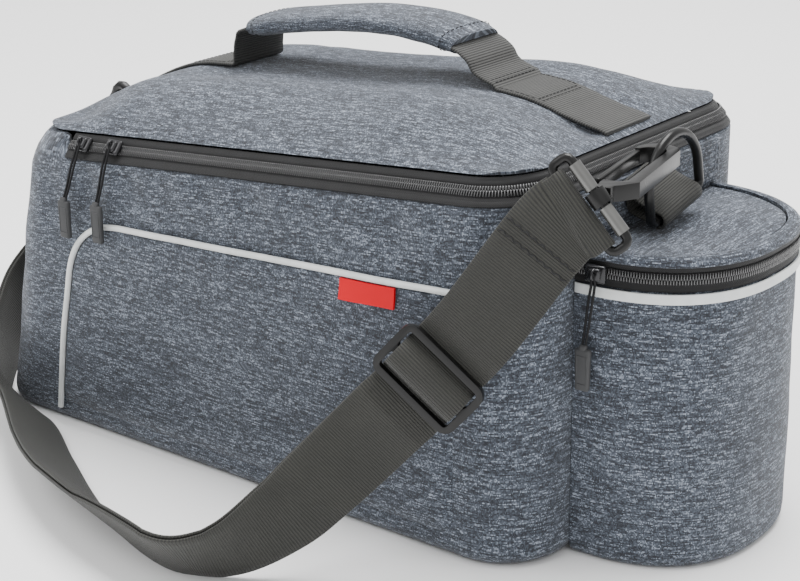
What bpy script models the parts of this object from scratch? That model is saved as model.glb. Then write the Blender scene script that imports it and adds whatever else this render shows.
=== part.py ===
"""Bicycle trunk bag: padded cloth body with a zipped lid, a bottle pocket on the
rear face, a carrying handle on the lid and a shoulder strap clipped front and rear.

Units are metres and +Z is up. The origin is the centre of the body's base, +X points
to the rear (the bottle pocket) and -Y to the near side (the side with the red tag).
"""
import math

import bmesh
import bpy
from mathutils import Matrix, Vector

# Body
BODY_LENGTH = 0.363
BODY_WIDTH = 0.200
ZIP_HEIGHT = 0.179          # the zip's coil where it meets the rear face
ZIP_FALL = 0.081            # how far the zip line falls per metre towards the front
FRONT_LEAN = 0.227          # how far the front face moves back per metre of height
CORNER_RADIUS = 0.034
BASE_ROUND = 0.008
PADDED_CLOTH = 0.003
GAP = 0.0004                # between pieces that touch

# Main zip
ZIP_TAPE = 0.014
ZIP_TILT = math.radians(40)  # the tape leans inwards over the top edge
TAPE_THICK = 0.0016
ZIP_INSET = 0.005           # of the coil line from the body's outline
COIL_WIDTH = 0.0056
COIL_RISE = 0.0012
ZIP_END = 0.078             # from the front bottom edge back to the zip's ends
SEAM_BLEND = 0.006

# Lid
LID_DOME = 0.020
DOME_SIDE = 0.048           # length over which the dome rises from each long side
DOME_FRONT = 0.062
DOME_REAR = 0.085

# Side pockets
SIDE_PANEL = 0.0016
PIPING = 0.0032
POCKET_FRONT = 0.062        # from the front bottom edge to the piping's foot
POCKET_LEAN = 0.150
POCKET_TOP_DROP = 0.048     # of its top rear corner below the body's zip
POCKET_TOP_REAR = ZIP_HEIGHT - POCKET_TOP_DROP
POCKET_TOP_FALL = 0.052
POCKET_BEND = 0.024
POCKET_REAR = 0.040         # from the rear face forward to the panel's rear edge
POCKET_FOOT = 0.009

# Tag
TAG_LENGTH = 0.032
TAG_DROP = 0.011
TAG_THICK = 0.0012
TAG_REAR = 0.070            # from the rear face forward to the tag

# Bottle pocket
BOTTLE_WIDTH = 0.124
BOTTLE_DEPTH = 0.066
BOTTLE_DROP = 0.039         # of its coil line below the body's zip
BOTTLE_ZIP = ZIP_HEIGHT - BOTTLE_DROP
BOTTLE_POWER = 2.4          # of the superellipse that its plan follows
BOTTLE_BACK = 0.0018
BOTTLE_CROWN = 0.003
BOTTLE_FALL = 0.004
LOWER_TAPE = 0.006
UPPER_TAPE = 0.0085
BAND_HEIGHT = 0.0045
BAND_THICK = 0.0008

# Sliders and pulls
SLIDER_LENGTH = 0.010
SLIDER_WIDTH = 0.008
SLIDER_THICK = 0.0026
SLIDER_FRONT = 0.091        # the two main sliders, from the front bottom edge
SLIDER_REAR = 0.113
PULL_CORD = 0.0022
PULL_DROP = 0.030
PULL_LENGTH = 0.020
PULL_WIDTH = 0.0078
PULL_THICK = 0.003

# Handle
HANDLE_WIDTH = 0.038
WEBBING = 0.0016
HANDLE_RISE = 0.026         # of the grip's middle above the lid
GRIP_WIDTH = 0.0415
GRIP_THICK = 0.012
GRIP_SLOT = 0.0030
HANDLE_FRONT_END = -0.119
HANDLE_FRONT_FOOT = -0.060
HANDLE_REAR_FOOT = 0.101

# Rings, tabs and patches
RING_INNER = 0.038
RING_WIRE = 0.0045
RING_LEG = 0.012
RING_ARCH = 0.022
RING_STAND = 0.018          # of the ring's plane from the face
RING_TILT = math.radians(12)
RING_ACROSS = -0.007
RING_DROP = 0.0215          # of the ring's straight bar below the zip line
TAB_WIDTH = 0.033
TAB_THICK = 0.0014
TAB_LENGTH = 0.017
PATCH_WIDTH = 0.124
PATCH_HEIGHT = 0.0205
PATCH_THICK = 0.0015
PATCH_DROP = 0.0075         # of the patch's top below the zip line

# Snap hook
SWIVEL_OUT = 0.027          # of the rear hook's swivel bar from the rear face
SWIVEL_IN = 0.014           # from the near side
SWIVEL_UP = 0.003           # above the zip line
HOOK_NOSE = 0.009           # from the ring to the inside of the nose
HOOK_EYE = 0.012            # clear width between gate and spine
HOOK_SPINE = 0.0055
RING_ASIDE = 0.75           # share of the eye's room that the ring's wire is off its middle
HOOKED_AT = 48              # degrees along the ring's arch where the hook holds it
HOOK_THICK = 0.007
HOOK_ROOT = 0.015           # from the swivel bar to the root of the eye
GATE_THICK = 0.0028
GATE_DEEP = 0.006
GATE_ROOT = 0.003           # from the root of the eye to the gate's pivot
FRAME_WIRE = 0.0042
FRAME_DEPTH = 0.009
FRAME_ROOM = 0.0010         # beside the strap, within the frame
FRAME_LEAD = 0.016          # of webbing that leaves each frame square to its bar
COLLAR_WIDTH = 0.007
COLLAR_WALL = 0.0022
RUNNING = 0.0003            # clearance of bars in their holes
FRAME_REACH = 0.012         # of the front frame out of the front ring's plane
FRAME_ASIDE = 0.020         # of the front frame toward the near side
FRAME_DROP = 0.026          # of the front frame below the ring
SHANK_BOW = 0.004           # of the front hook's shank
FRONT_EDGE = (0.0, 0.98, -0.20)     # direction of the front frame's bar
FRONT_PULL = (0.10, 0.2, 0.97)      # from the strap to the front hook

# Shoulder strap
STRAP_WIDTH = 0.038
STRAP_THICK = 0.0014
LAYER_GAP = 0.0006
STRAP_STEP = 0.006          # between sections along the strap
HEM = 0.026                 # of the end sewn back on itself
FLOOR_GAP = 0.0005

# Tri-glide
GLIDE_LENGTH = 0.047
GLIDE_WIDTH = 0.029
GLIDE_BAR = 0.0034
LOOP_SHARE = 1.6            # the loop's reach past the square bar's half width

HALF_LENGTH = BODY_LENGTH / 2
HALF_WIDTH = BODY_WIDTH / 2

MATERIALS = {
    "body_cloth": ((0.11, 0.13, 0.17), 0.9, 0.0),
    "webbing": ((0.035, 0.035, 0.03), 0.8, 0.0),
    "zip": ((0.02, 0.02, 0.02), 0.45, 0.0),
    "reflective": ((0.62, 0.64, 0.64), 0.4, 0.0),
    "tag_cloth": ((0.6, 0.02, 0.03), 0.7, 0.0),
    "pull_rubber": ((0.06, 0.06, 0.06), 0.6, 0.0),
    "hardware": ((0.03, 0.03, 0.03), 0.35, 0.0),
}


def clear_scene():
    for thing in list(bpy.data.objects):
        bpy.data.objects.remove(thing, do_unlink=True)


def material(name):
    """A Principled material from the table above, made once."""
    found = bpy.data.materials.get(name)
    if found:
        return found
    colour, rough, metal = MATERIALS[name]
    made = bpy.data.materials.new(name)
    made.use_nodes = True
    shader = made.node_tree.nodes["Principled BSDF"]
    shader.inputs["Base Color"].default_value = (*colour, 1)
    shader.inputs["Roughness"].default_value = rough
    shader.inputs["Metallic"].default_value = metal
    return made


def solid(name, points, faces, finish, smooth=True):
    """One closed body with its faces turned outwards."""
    mesh = bpy.data.meshes.new(name)
    mesh.from_pydata([tuple(p) for p in points], [], faces)
    work = bmesh.new()
    work.from_mesh(mesh)
    bmesh.ops.recalc_face_normals(work, faces=work.faces)
    if work.calc_volume(signed=True) < 0:
        bmesh.ops.reverse_faces(work, faces=work.faces)
    work.to_mesh(mesh)
    work.free()
    mesh.materials.append(material(finish))
    if smooth:
        mesh.shade_smooth()
        mesh.set_sharp_from_angle(angle=math.radians(35))
    made = bpy.data.objects.new(name, mesh)
    bpy.context.scene.collection.objects.link(made)
    return made


def loft(name, rings, finish, closed=False, smooth=True):
    """Joins rings of equal counts; the ends are capped, or joined when closed."""
    count = len(rings[0])
    points = [p for ring in rings for p in ring]
    faces = []
    last = len(rings) if closed else len(rings) - 1
    for r in range(last):
        a, b = r * count, (r + 1) % len(rings) * count
        for i in range(count):
            j = (i + 1) % count
            faces.append((a + i, a + j, b + j, b + i))
    if not closed:
        faces.append(tuple(range(count)))
        faces.append(tuple(range((len(rings) - 1) * count, len(rings) * count)))
    return solid(name, points, faces, finish, smooth)


def combine(name, base, other, operation):
    """Boolean of two of this script's solids; the second one is used up."""
    change = base.modifiers.new(operation.lower(), "BOOLEAN")
    change.operation = operation
    change.object = other
    bpy.context.view_layer.update()
    graph = bpy.context.evaluated_depsgraph_get()
    mesh = bpy.data.meshes.new_from_object(base.evaluated_get(graph))
    finish = base.data.materials[0].name
    for used in (base, other):
        bpy.data.objects.remove(used, do_unlink=True)
    mesh.materials.clear()
    mesh.materials.append(material(finish))
    mesh.name = name
    made = bpy.data.objects.new(name, mesh)
    bpy.context.scene.collection.objects.link(made)
    return made


def circle(radius, sides, turn=0.0):
    step = 2 * math.pi / sides
    return [(radius * math.cos(turn + k * step), radius * math.sin(turn + k * step)) for k in range(sides)]


def box_section(width, thick):
    """Section of a tape: width along the first axis, thickness along the second."""
    w, t = width / 2, thick / 2
    return [(-w, -t), (w, -t), (w, t), (-w, t)]


def place(section, centre, first, second):
    return [centre + first * a + second * b for a, b in section]


def smoothstep(low, high, value):
    t = min(max((value - low) / (high - low), 0.0), 1.0)
    return t * t * (3 - 2 * t)


def curve_through(points, step):
    """Points about one step apart on a Catmull-Rom curve; rows may be of any length."""
    rows = [Vector(p) for p in points]
    rows = [rows[0] * 2 - rows[1]] + rows + [rows[-1] * 2 - rows[-2]]
    out = []
    for a, b, c, d in zip(rows, rows[1:], rows[2:], rows[3:]):
        count = max(1, round((c - b).length / step))
        for k in range(count):
            t = k / count
            out.append(0.5 * (b * 2 + (c - a) * t + (a * 2 - b * 5 + c * 4 - d) * t * t
                              + (b * 3 - a - c * 3 + d) * t ** 3))
    out.append(rows[-2].copy())
    return out


def tangents(points):
    ahead = points[1:] + points[-1:]
    behind = points[:1] + points[:-1]
    return [(b - a).normalized() for a, b in zip(behind, ahead)]


def zip_level(x):
    """Height of the main zip's coil line at a place along the body."""
    return ZIP_HEIGHT - ZIP_FALL * (HALF_LENGTH - x)


def front_face(z):
    return -HALF_LENGTH + FRONT_LEAN * z


def level_of_front(offset):
    """Height at which the front face meets the zip line moved by an offset."""
    rise = ZIP_HEIGHT - ZIP_FALL * BODY_LENGTH + offset
    return rise / (1 - ZIP_FALL * FRONT_LEAN)


# Insets and heights of the tape's two edges from the coil line and the outline
TAPE_IN = ZIP_TAPE / 2 * math.sin(ZIP_TILT)
TAPE_UP = ZIP_TAPE / 2 * math.cos(ZIP_TILT)
TAPE_EDGE = TAPE_THICK / 2 * math.sin(ZIP_TILT) + GAP
RIM_DROP = TAPE_UP + TAPE_EDGE
RIM_INSET = max(ZIP_INSET - TAPE_IN - TAPE_THICK / 2 * math.cos(ZIP_TILT), 0.0002)
LID_INSET = ZIP_INSET + TAPE_IN - TAPE_THICK / 2 * math.cos(ZIP_TILT)
ZIP_ENDS_AT = -HALF_LENGTH + ZIP_END

ARC_STEPS = 6
SIDE_SHARES = (0.0, 0.03, 0.08, 0.25, 0.5, 0.75, 1.0)


def plan(z_front, inset):
    """The body's outline seen from above, counter-clockwise from the near front corner."""
    x0, x1 = front_face(z_front) + inset, HALF_LENGTH - inset
    y1, r = HALF_WIDTH - inset, CORNER_RADIUS - inset
    left, right = x0 + r, x1 - r
    ends = front_face(level_of_front(0)) + CORNER_RADIUS
    share = (ZIP_ENDS_AT - ends) / (HALF_LENGTH - CORNER_RADIUS - ends)
    blend = SEAM_BLEND / (HALF_LENGTH - CORNER_RADIUS - ends)
    shares = [0.0, share - blend, share - blend / 2, share, 0.3, 0.55, 0.8, 1.0]
    out = [(left + (right - left) * s, -y1) for s in shares]
    out += corner(right, -y1 + r, r, -90)
    out += [(x1, 0.0), (x1, y1 - r)]
    out += corner(right, y1 - r, r, 0)
    out += [(left + (right - left) * s, y1) for s in reversed(shares[:-1])]
    out += corner(left, y1 - r, r, 90)
    out += [(x0, 0.0), (x0, -y1 + r)]
    out += corner(left, -y1 + r, r, 180)[:-1]
    return out


def corner(cx, cy, radius, start):
    turns = [math.radians(start + 90 * k / ARC_STEPS) for k in range(1, ARC_STEPS + 1)]
    return [(cx + radius * math.cos(t), cy + radius * math.sin(t)) for t in turns]


def main_shell():
    """The hollow padded body, open at the top along the zip and the front seam."""
    rings = []
    for k in range(4):
        turn = math.radians(30 * k)
        z = BASE_ROUND * (1 - math.cos(turn))
        rings.append([Vector((x, y, z)) for x, y in plan(z, BASE_ROUND * (1 - math.sin(turn)))])
    low = [(0.0, -2 * RIM_DROP), (0.0, -RIM_DROP - BASE_ROUND / 3), (RIM_INSET, -RIM_DROP)]
    high = [(0.0, -2 * RIM_DROP), (RIM_INSET, -TAPE_UP / 2), (LID_INSET, RIM_DROP - 2 * GAP)]
    wall = PADDED_CLOTH
    low += [(RIM_INSET + wall, -RIM_DROP), (wall, -RIM_DROP - BASE_ROUND), (wall, -3 * RIM_DROP)]
    high += [(LID_INSET + wall, RIM_DROP - 2 * GAP), (RIM_INSET + wall, -TAPE_UP), (wall, -3 * RIM_DROP)]
    for (inset_a, rise_a), (inset_b, rise_b) in zip(low, high):
        rings.append(rim_ring(inset_a, rise_a, inset_b, rise_b))
    for k in range(3):
        turn = math.radians(45 * k)
        round_in = BASE_ROUND - wall
        z = wall + round_in * (1 - math.sin(turn))
        inset = wall + round_in * (1 - math.cos(turn))
        rings.append([Vector((x, y, z)) for x, y in plan(z, inset)])
    return loft("main_shell", rings, "body_cloth")


def rim_ring(inset_zip, rise_zip, inset_front, rise_front):
    """A ring that follows the zip line, with its own offsets past the zip's ends."""
    ring = []
    zip_plan = plan(level_of_front(rise_zip), inset_zip)
    front_plan = plan(level_of_front(rise_front), inset_front)
    for (xa, ya), (xb, yb) in zip(zip_plan, front_plan):
        part = smoothstep(ZIP_ENDS_AT - GAP, ZIP_ENDS_AT - SEAM_BLEND, (xa + xb) / 2)
        part = 1 - smoothstep(ZIP_ENDS_AT - SEAM_BLEND, ZIP_ENDS_AT - GAP, (xa + xb) / 2)
        x, y = xa + (xb - xa) * part, ya + (yb - ya) * part
        rise = rise_zip + (rise_front - rise_zip) * part
        ring.append(Vector((x, y, zip_level(x) + rise)))
    return ring


def zip_path():
    """Plan points of the zip's U, from the near front end round the rear to the far."""
    points = plan(level_of_front(0), ZIP_INSET)
    keep = [p for p in points if p[0] > ZIP_ENDS_AT + GAP]
    y = HALF_WIDTH - ZIP_INSET
    start = next(i for i, p in enumerate(keep) if p[1] < -y + GAP)
    keep = keep[start:] + keep[:start]
    return [(ZIP_ENDS_AT + GAP, -y)] + keep + [(ZIP_ENDS_AT + GAP, y)]


def outward(points, k):
    """Unit vector out of the body, square to the path seen from above."""
    a, b = points[max(k - 1, 0)], points[min(k + 1, len(points) - 1)]
    run = Vector((b[0] - a[0], b[1] - a[1], 0)).normalized()
    return Vector((run.y, -run.x, 0))


def main_zipper():
    """Tape of the main zip with the raised coil along its middle."""
    half, thick, coil = ZIP_TAPE / 2, TAPE_THICK / 2, COIL_WIDTH / 2
    section = [(-half, -thick), (half, -thick), (half, thick), (coil, thick),
               (coil * 0.7, thick + COIL_RISE), (-coil * 0.7, thick + COIL_RISE), (-coil, thick), (-half, thick)]
    path = zip_path()
    rings = []
    for k, (x, y) in enumerate(path):
        out = outward(path, k)
        up = Vector((0, 0, math.cos(ZIP_TILT))) - out * math.sin(ZIP_TILT)
        face = out * math.cos(ZIP_TILT) + Vector((0, 0, math.sin(ZIP_TILT)))
        rings.append(place(section, Vector((x, y, zip_level(x))), up, face))
    return loft("main_zipper", rings, "zip")


def ease(distance, length):
    return math.sin(math.pi / 2 * min(max(distance / length, 0.0), 1.0))


LID_FRONT = front_face(level_of_front(RIM_DROP)) + LID_INSET
LID_REAR = HALF_LENGTH - LID_INSET
LID_SIDE = HALF_WIDTH - LID_INSET


def lid_height(x, y):
    """Height of the lid's outer surface."""
    rise = LID_DOME * ease(x - LID_FRONT, DOME_FRONT) * ease(LID_REAR - x, DOME_REAR)
    rise *= ease(LID_SIDE - abs(y), DOME_SIDE)
    return zip_level(x) + RIM_DROP + PADDED_CLOTH / 2 + rise


def lid():
    """Domed padded lid, hollow below, on the zip tape and on the front seam."""
    wall, low = PADDED_CLOTH, RIM_DROP
    insets = (0.0, 0.004, 0.010, 0.018, 0.028, 0.042, 0.060, 0.078)
    outer, inner = [], []
    for extra in insets:
        outer.append([Vector((x, y, lid_height(x, y))) for x, y in lid_plan(extra)])
        inner.append([Vector((x, y, lid_height(x, y) - wall)) for x, y in lid_plan(max(extra, wall))])
    foot_out = [Vector((x, y, zip_level(x) + low)) for x, y in lid_plan(0.0)]
    foot_in = [Vector((x, y, zip_level(x) + low)) for x, y in lid_plan(wall)]
    rings = list(reversed(outer)) + [foot_out, foot_in] + inner[1:]
    return loft("lid", rings, "body_cloth")


def lid_plan(extra):
    """The lid's outline moved inwards; past the corner radius it keeps a small corner."""
    x0, x1, y1 = LID_FRONT + extra, LID_REAR - extra, LID_SIDE - extra
    r = max(CORNER_RADIUS - LID_INSET - extra, 0.002)
    left, right = x0 + r, x1 - r
    shares = [k / 14 for k in range(15)]
    across = [-0.5, 0.0, 0.5, 1.0]
    out = [(left + (right - left) * s, -y1) for s in shares]
    out += corner(right, -y1 + r, r, -90)
    out += [(x1, (y1 - r) * s) for s in across]
    out += corner(right, y1 - r, r, 0)
    out += [(left + (right - left) * s, y1) for s in reversed(shares[:-1])]
    out += corner(left, y1 - r, r, 90)
    out += [(x0, -(y1 - r) * s) for s in across]
    out += corner(left, -y1 + r, r, 180)[:-1]
    return out


def side_pocket_line():
    """Height and place of the piping: up the front, round the bend and to the rear."""
    foot = Vector((-HALF_LENGTH + POCKET_FRONT, POCKET_FOOT))
    rear = Vector((HALF_LENGTH - POCKET_REAR, POCKET_TOP_REAR))
    up = Vector((POCKET_LEAN, 1)).normalized()
    back = Vector((-1, -POCKET_TOP_FALL)).normalized()
    cross = up.x * back.y - up.y * back.x
    gap = rear - foot
    meet = foot + up * ((gap.x * back.y - gap.y * back.x) / cross)
    bend = []
    start, end = meet - up * POCKET_BEND, meet - back * POCKET_BEND
    for k in range(9):
        t = k / 8
        bend.append(start * (1 - t) ** 2 + meet * 2 * t * (1 - t) + end * t * t)
    return [foot] + bend + [rear]


def side_pocket(side, name):
    """A flat sewn-on pocket panel and the piping round it; side is -1 near, 1 far."""
    line = side_pocket_line()
    inner_y = side * (HALF_WIDTH + GAP)
    outer_y = side * (HALF_WIDTH + GAP + SIDE_PANEL)
    shift = PIPING / 2 + GAP
    edge = []
    for k, run in enumerate(tangents([p.to_3d() for p in line])):
        edge.append(line[k] + Vector((run.y, -run.x)) * shift)
    edge[0].y = POCKET_FOOT
    edge[-1].x = HALF_LENGTH - POCKET_REAR
    edge.append(Vector((HALF_LENGTH - POCKET_REAR, POCKET_FOOT)))
    rings = [[Vector((p.x, y, p.y)) for p in edge] for y in (inner_y, outer_y)]
    panel = loft(f"{name}_pocket_panel", rings, "body_cloth", smooth=False)
    middle_y = side * (HALF_WIDTH + GAP + PIPING / 2)
    path = [Vector((p.x, middle_y, p.y)) for p in line]
    piping = tube(f"{name}_piping", path, PIPING / 2, 8, "reflective", Vector((0, 1, 0)))
    return panel, piping


def tube(name, path, radius, sides, finish, across, closed=False):
    """A round bar along a path; across is a direction square to every stretch of it."""
    if closed:
        ahead = path[1:] + path[:1]
        behind = path[-1:] + path[:-1]
        runs = [(b - a).normalized() for a, b in zip(behind, ahead)]
    else:
        runs = tangents(path)
    rings = []
    for p, run in zip(path, runs):
        first = (across - run * across.dot(run)).normalized()
        rings.append(place(circle(radius, sides), p, first, run.cross(first)))
    return loft(name, rings, finish, closed)


def red_tag():
    """Blank folded tag hanging from the near pocket's top seam."""
    line = side_pocket_line()
    slope = (line[-1] - line[-2]).normalized()
    start = Vector((HALF_LENGTH - TAG_REAR, 0)) - Vector((TAG_LENGTH, 0))
    share = (start.x - line[-2].x) / (line[-1].x - line[-2].x)
    top = line[-2].lerp(line[-1], share) - Vector((-slope.y, slope.x)) * (PIPING / 2 + GAP)
    corners = [top, top + slope * TAG_LENGTH]
    corners += [corners[1] + Vector((0, -TAG_DROP)), corners[0] + Vector((0, -TAG_DROP))]
    y = -(HALF_WIDTH + 2 * GAP + SIDE_PANEL)
    rings = [[Vector((p.x, y - depth, p.y)) for p in corners] for depth in (0.0, TAG_THICK)]
    return loft("red_tag", rings, "tag_cloth", smooth=False)


def bottle_plan(inset, back):
    """The bottle pocket's outline: a superellipse closed by a straight back."""
    x0 = HALF_LENGTH + GAP
    half, depth = BOTTLE_WIDTH / 2 - inset, BOTTLE_DEPTH - inset
    out = []
    for k in range(25):
        turn = math.radians(-90 + 180 * k / 24)
        c, s = math.cos(turn), math.sin(turn)
        x = x0 + back + (depth - back) * abs(c) ** (2 / BOTTLE_POWER)
        out.append((x, math.copysign(half * abs(s) ** (2 / BOTTLE_POWER), s)))
    return out


BOTTLE_RIM = BOTTLE_ZIP - LOWER_TAPE - GAP
POCKET_LID_INSET = 0.0062
POCKET_LID_FOOT = BOTTLE_ZIP + UPPER_TAPE * 0.82 + GAP


def bottle_pocket():
    """Hollow pocket for a bottle, open at the top."""
    wall = PADDED_CLOTH
    steps = [(0.0, 0.0055), (0.0016, 0.0018), (0.006, 0.0), (BOTTLE_RIM, 0.0)]
    rings = [[Vector((x, y, z)) for x, y in bottle_plan(inset, 0.0)] for z, inset in steps]
    inner = [(BOTTLE_RIM, wall), (wall + 0.004, wall), (wall, wall + 0.004)]
    rings += [[Vector((x, y, z)) for x, y in bottle_plan(inset, BOTTLE_BACK)] for z, inset in inner]
    return loft("bottle_pocket", rings, "body_cloth")


def pocket_zipper():
    """The pocket's zip: upright lower tape with the coil, upper tape rolled inwards."""
    t = TAPE_THICK
    back = BOTTLE_BACK
    middle = [(0.0012, -LOWER_TAPE), (0.0012, -COIL_WIDTH / 2), (0.0012, COIL_WIDTH / 2),
              (0.0022, UPPER_TAPE * 0.62), (POCKET_LID_INSET - GAP, UPPER_TAPE)]
    coil = COIL_WIDTH / 2 * 0.7
    outer = [(0.0, -LOWER_TAPE), (0.0, -COIL_WIDTH / 2), (-COIL_RISE, -coil), (-COIL_RISE, coil),
             (0.0, COIL_WIDTH / 2), (0.0014, UPPER_TAPE * 0.7), (POCKET_LID_INSET - 2 * GAP, UPPER_TAPE + t / 2)]
    inner = [(POCKET_LID_INSET - 2 * GAP, UPPER_TAPE - t), (0.0014 + t, UPPER_TAPE * 0.5), (t, -LOWER_TAPE)]
    section = outer + inner
    columns = [[Vector((x, y, BOTTLE_ZIP + rise)) for x, y in bottle_plan(inset, 0.0)] for inset, rise in section]
    rings = [[column[k] for column in columns] for k in range(len(columns[0]))]
    return loft("pocket_zipper", rings, "zip")


def pocket_lid_height(x, y):
    """Height of the pocket lid's outer surface: a low crown that falls to the body."""
    across = abs(y) / (BOTTLE_WIDTH / 2)
    out = (x - HALF_LENGTH) / BOTTLE_DEPTH
    crown = BOTTLE_CROWN * max(0.0, 1 - across ** 2) * max(0.0, 1 - out ** 2)
    return BOTTLE_ZIP + UPPER_TAPE + crown - BOTTLE_FALL * max(0.0, 1 - across ** 4) * max(0.0, 1 - out)


def pocket_lid():
    """Cloth top of the bottle pocket, inside the rolled tape."""
    wall = PADDED_CLOTH * 0.8
    outline = bottle_plan(POCKET_LID_INSET, 0.0)[2:-2]
    rings = []
    for x_out, y in outline:
        x0 = HALF_LENGTH + GAP
        xs = [x0 + (x_out - x0) * k / 5 for k in range(6)]
        ring = [Vector((x, y, pocket_lid_height(x, y))) for x in xs]
        ring += [Vector((x, y, pocket_lid_height(x, y) - wall)) for x in reversed(xs)]
        rings.append(ring)
    return loft("pocket_lid", rings, "body_cloth")


def reflective_band():
    """Light band sewn round the pocket just under its zip."""
    top = BOTTLE_RIM - GAP
    rings = []
    columns = []
    for inset, z in ((-GAP, top), (-GAP, top - BAND_HEIGHT), (-GAP - BAND_THICK, top - BAND_HEIGHT),
                     (-GAP - BAND_THICK, top)):
        columns.append([Vector((x, y, z)) for x, y in bottle_plan(inset, -inset)])
    rings = [[column[k] for column in columns] for k in range(len(columns[0]))]
    return loft("reflective_band", rings, "reflective")


def plate(name, outline, centre, first, second, thick, finish):
    """A flat piece: an outline in two directions, with its thickness along the third."""
    out = first.cross(second).normalized()
    rings = [place(outline, centre + out * side * thick / 2, first, second) for side in (-1, 1)]
    return loft(name, rings, finish, smooth=False)


def rounded(width, height, radius, steps=3):
    """Rounded rectangle round the origin."""
    out = []
    for cx, cy, start in ((1, -1, -90), (1, 1, 0), (-1, 1, 90), (-1, -1, 180)):
        for k in range(steps + 1):
            turn = math.radians(start + 90 * k / steps)
            out.append((cx * (width / 2 - radius) + radius * math.cos(turn),
                        cy * (height / 2 - radius) + radius * math.sin(turn)))
    return out


def slider_and_pull(prefix, at, out, along, drop_to, lean):
    """A zip slider, its cord loop and the moulded pull that hangs down the face."""
    up = out.cross(along).normalized()
    if up.z < 0:
        up = -up
    seat = at + out * (TAPE_THICK / 2 + COIL_RISE + GAP + SLIDER_THICK / 2)
    plate(f"{prefix}_slider", rounded(SLIDER_LENGTH, SLIDER_WIDTH, 0.002), seat, along, up,
          SLIDER_THICK, "hardware")
    hang = drop_to
    flat = Vector((out.x, out.y, 0)).normalized()
    side = Vector((-flat.y, flat.x, 0))
    tilt = math.sqrt(1 - up.z ** 2)
    start = seat - up * (SLIDER_WIDTH / 2 + GAP + PULL_CORD * 0.56 * tilt) + out * PULL_CORD * 0.2
    face = hang + PULL_THICK / 2
    base = Vector((start.x, start.y, start.z))
    reach = face - base.dot(flat)
    end = base + flat * reach + Vector((0, 0, -PULL_DROP)) + side * lean
    path = [base, base.lerp(end, 0.3) + flat * 0.0008, base.lerp(end, 0.7), end]
    tube(f"{prefix}_pull_cord", curve_through(path, 0.004), PULL_CORD / 2, 6, "hardware", side)
    down = (end - base).normalized()
    half = PULL_LENGTH / 2
    wide = PULL_WIDTH / 2
    outline = [(-wide, -half * 0.8), (-wide * 0.7, -half), (wide * 0.7, -half), (wide, -half * 0.8),
               (wide * 0.86, half * 0.86), (wide * 0.6, half), (-wide * 0.6, half), (-wide * 0.86, half * 0.86)]
    rise = Vector((0, 0, 1))
    middle = end + Vector((0, 0, -half - GAP)) + down * 0.0
    plate(f"{prefix}_pull_tab", outline, middle, side, rise, PULL_THICK, "pull_rubber")


def main_sliders():
    face = HALF_WIDTH + GAP + SIDE_PANEL + PIPING
    out = Vector((0, -math.cos(ZIP_TILT), math.sin(ZIP_TILT)))
    for name, from_front, lean in (("front", SLIDER_FRONT, 0.008), ("rear", SLIDER_REAR, 0.006)):
        x = -HALF_LENGTH + from_front
        at = Vector((x, -HALF_WIDTH + ZIP_INSET, zip_level(x)))
        slider_and_pull(f"main_{name}", at, out, Vector((1, 0, 0)), face, -lean)


def pocket_slider():
    outline = bottle_plan(0.0, 0.0)
    k = 1
    a, b = Vector((*outline[k - 1], 0)), Vector((*outline[k + 1], 0))
    along = (b - a).normalized()
    out = Vector((along.y, -along.x, 0))
    at = Vector((*outline[k], BOTTLE_ZIP)) - out * TAPE_THICK / 2
    face = at.dot(out) + TAPE_THICK / 2 + COIL_RISE + 3 * GAP + SLIDER_THICK / 2
    slider_and_pull("pocket", at, out, along, face, -0.004)


def handle_line():
    """Side view of the handle's webbing: along the lid, up, through the grip and down."""
    lay = WEBBING / 2 + GAP
    front = [HANDLE_FRONT_END + (HANDLE_FRONT_FOOT - HANDLE_FRONT_END) * k / 4 for k in range(5)]
    rear_end = LID_REAR - 0.003
    rear = [HANDLE_REAR_FOOT + (rear_end - HANDLE_REAR_FOOT) * k / 6 for k in range(1, 7)]
    low = [(x, lid_height(x, 0) + lay) for x in front]
    span = HANDLE_REAR_FOOT - HANDLE_FRONT_FOOT
    top = lid_height(HANDLE_FRONT_FOOT + span * 0.6, 0) + HANDLE_RISE
    # shares of the span between the feet, and of the grip's height above each foot
    rows = [(0.010, 0.20), (0.020, 0.44), (0.060, 0.62), (0.31, 0.84), (0.50, 0.97), (0.67, 1.0),
            (0.80, 0.92), (0.885, 0.76), (0.94, 0.52), (0.972, 0.22)]
    arch = []
    for along, up in rows:
        x = HANDLE_FRONT_FOOT + span * along
        base = lid_height(x, 0) + lay
        arch.append((x, base + (top - base) * up))
    high = [(x, lid_height(x, 0) + lay) for x in rear]
    return [Vector((x, 0, z)) for x, z in low + arch + high]


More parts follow.
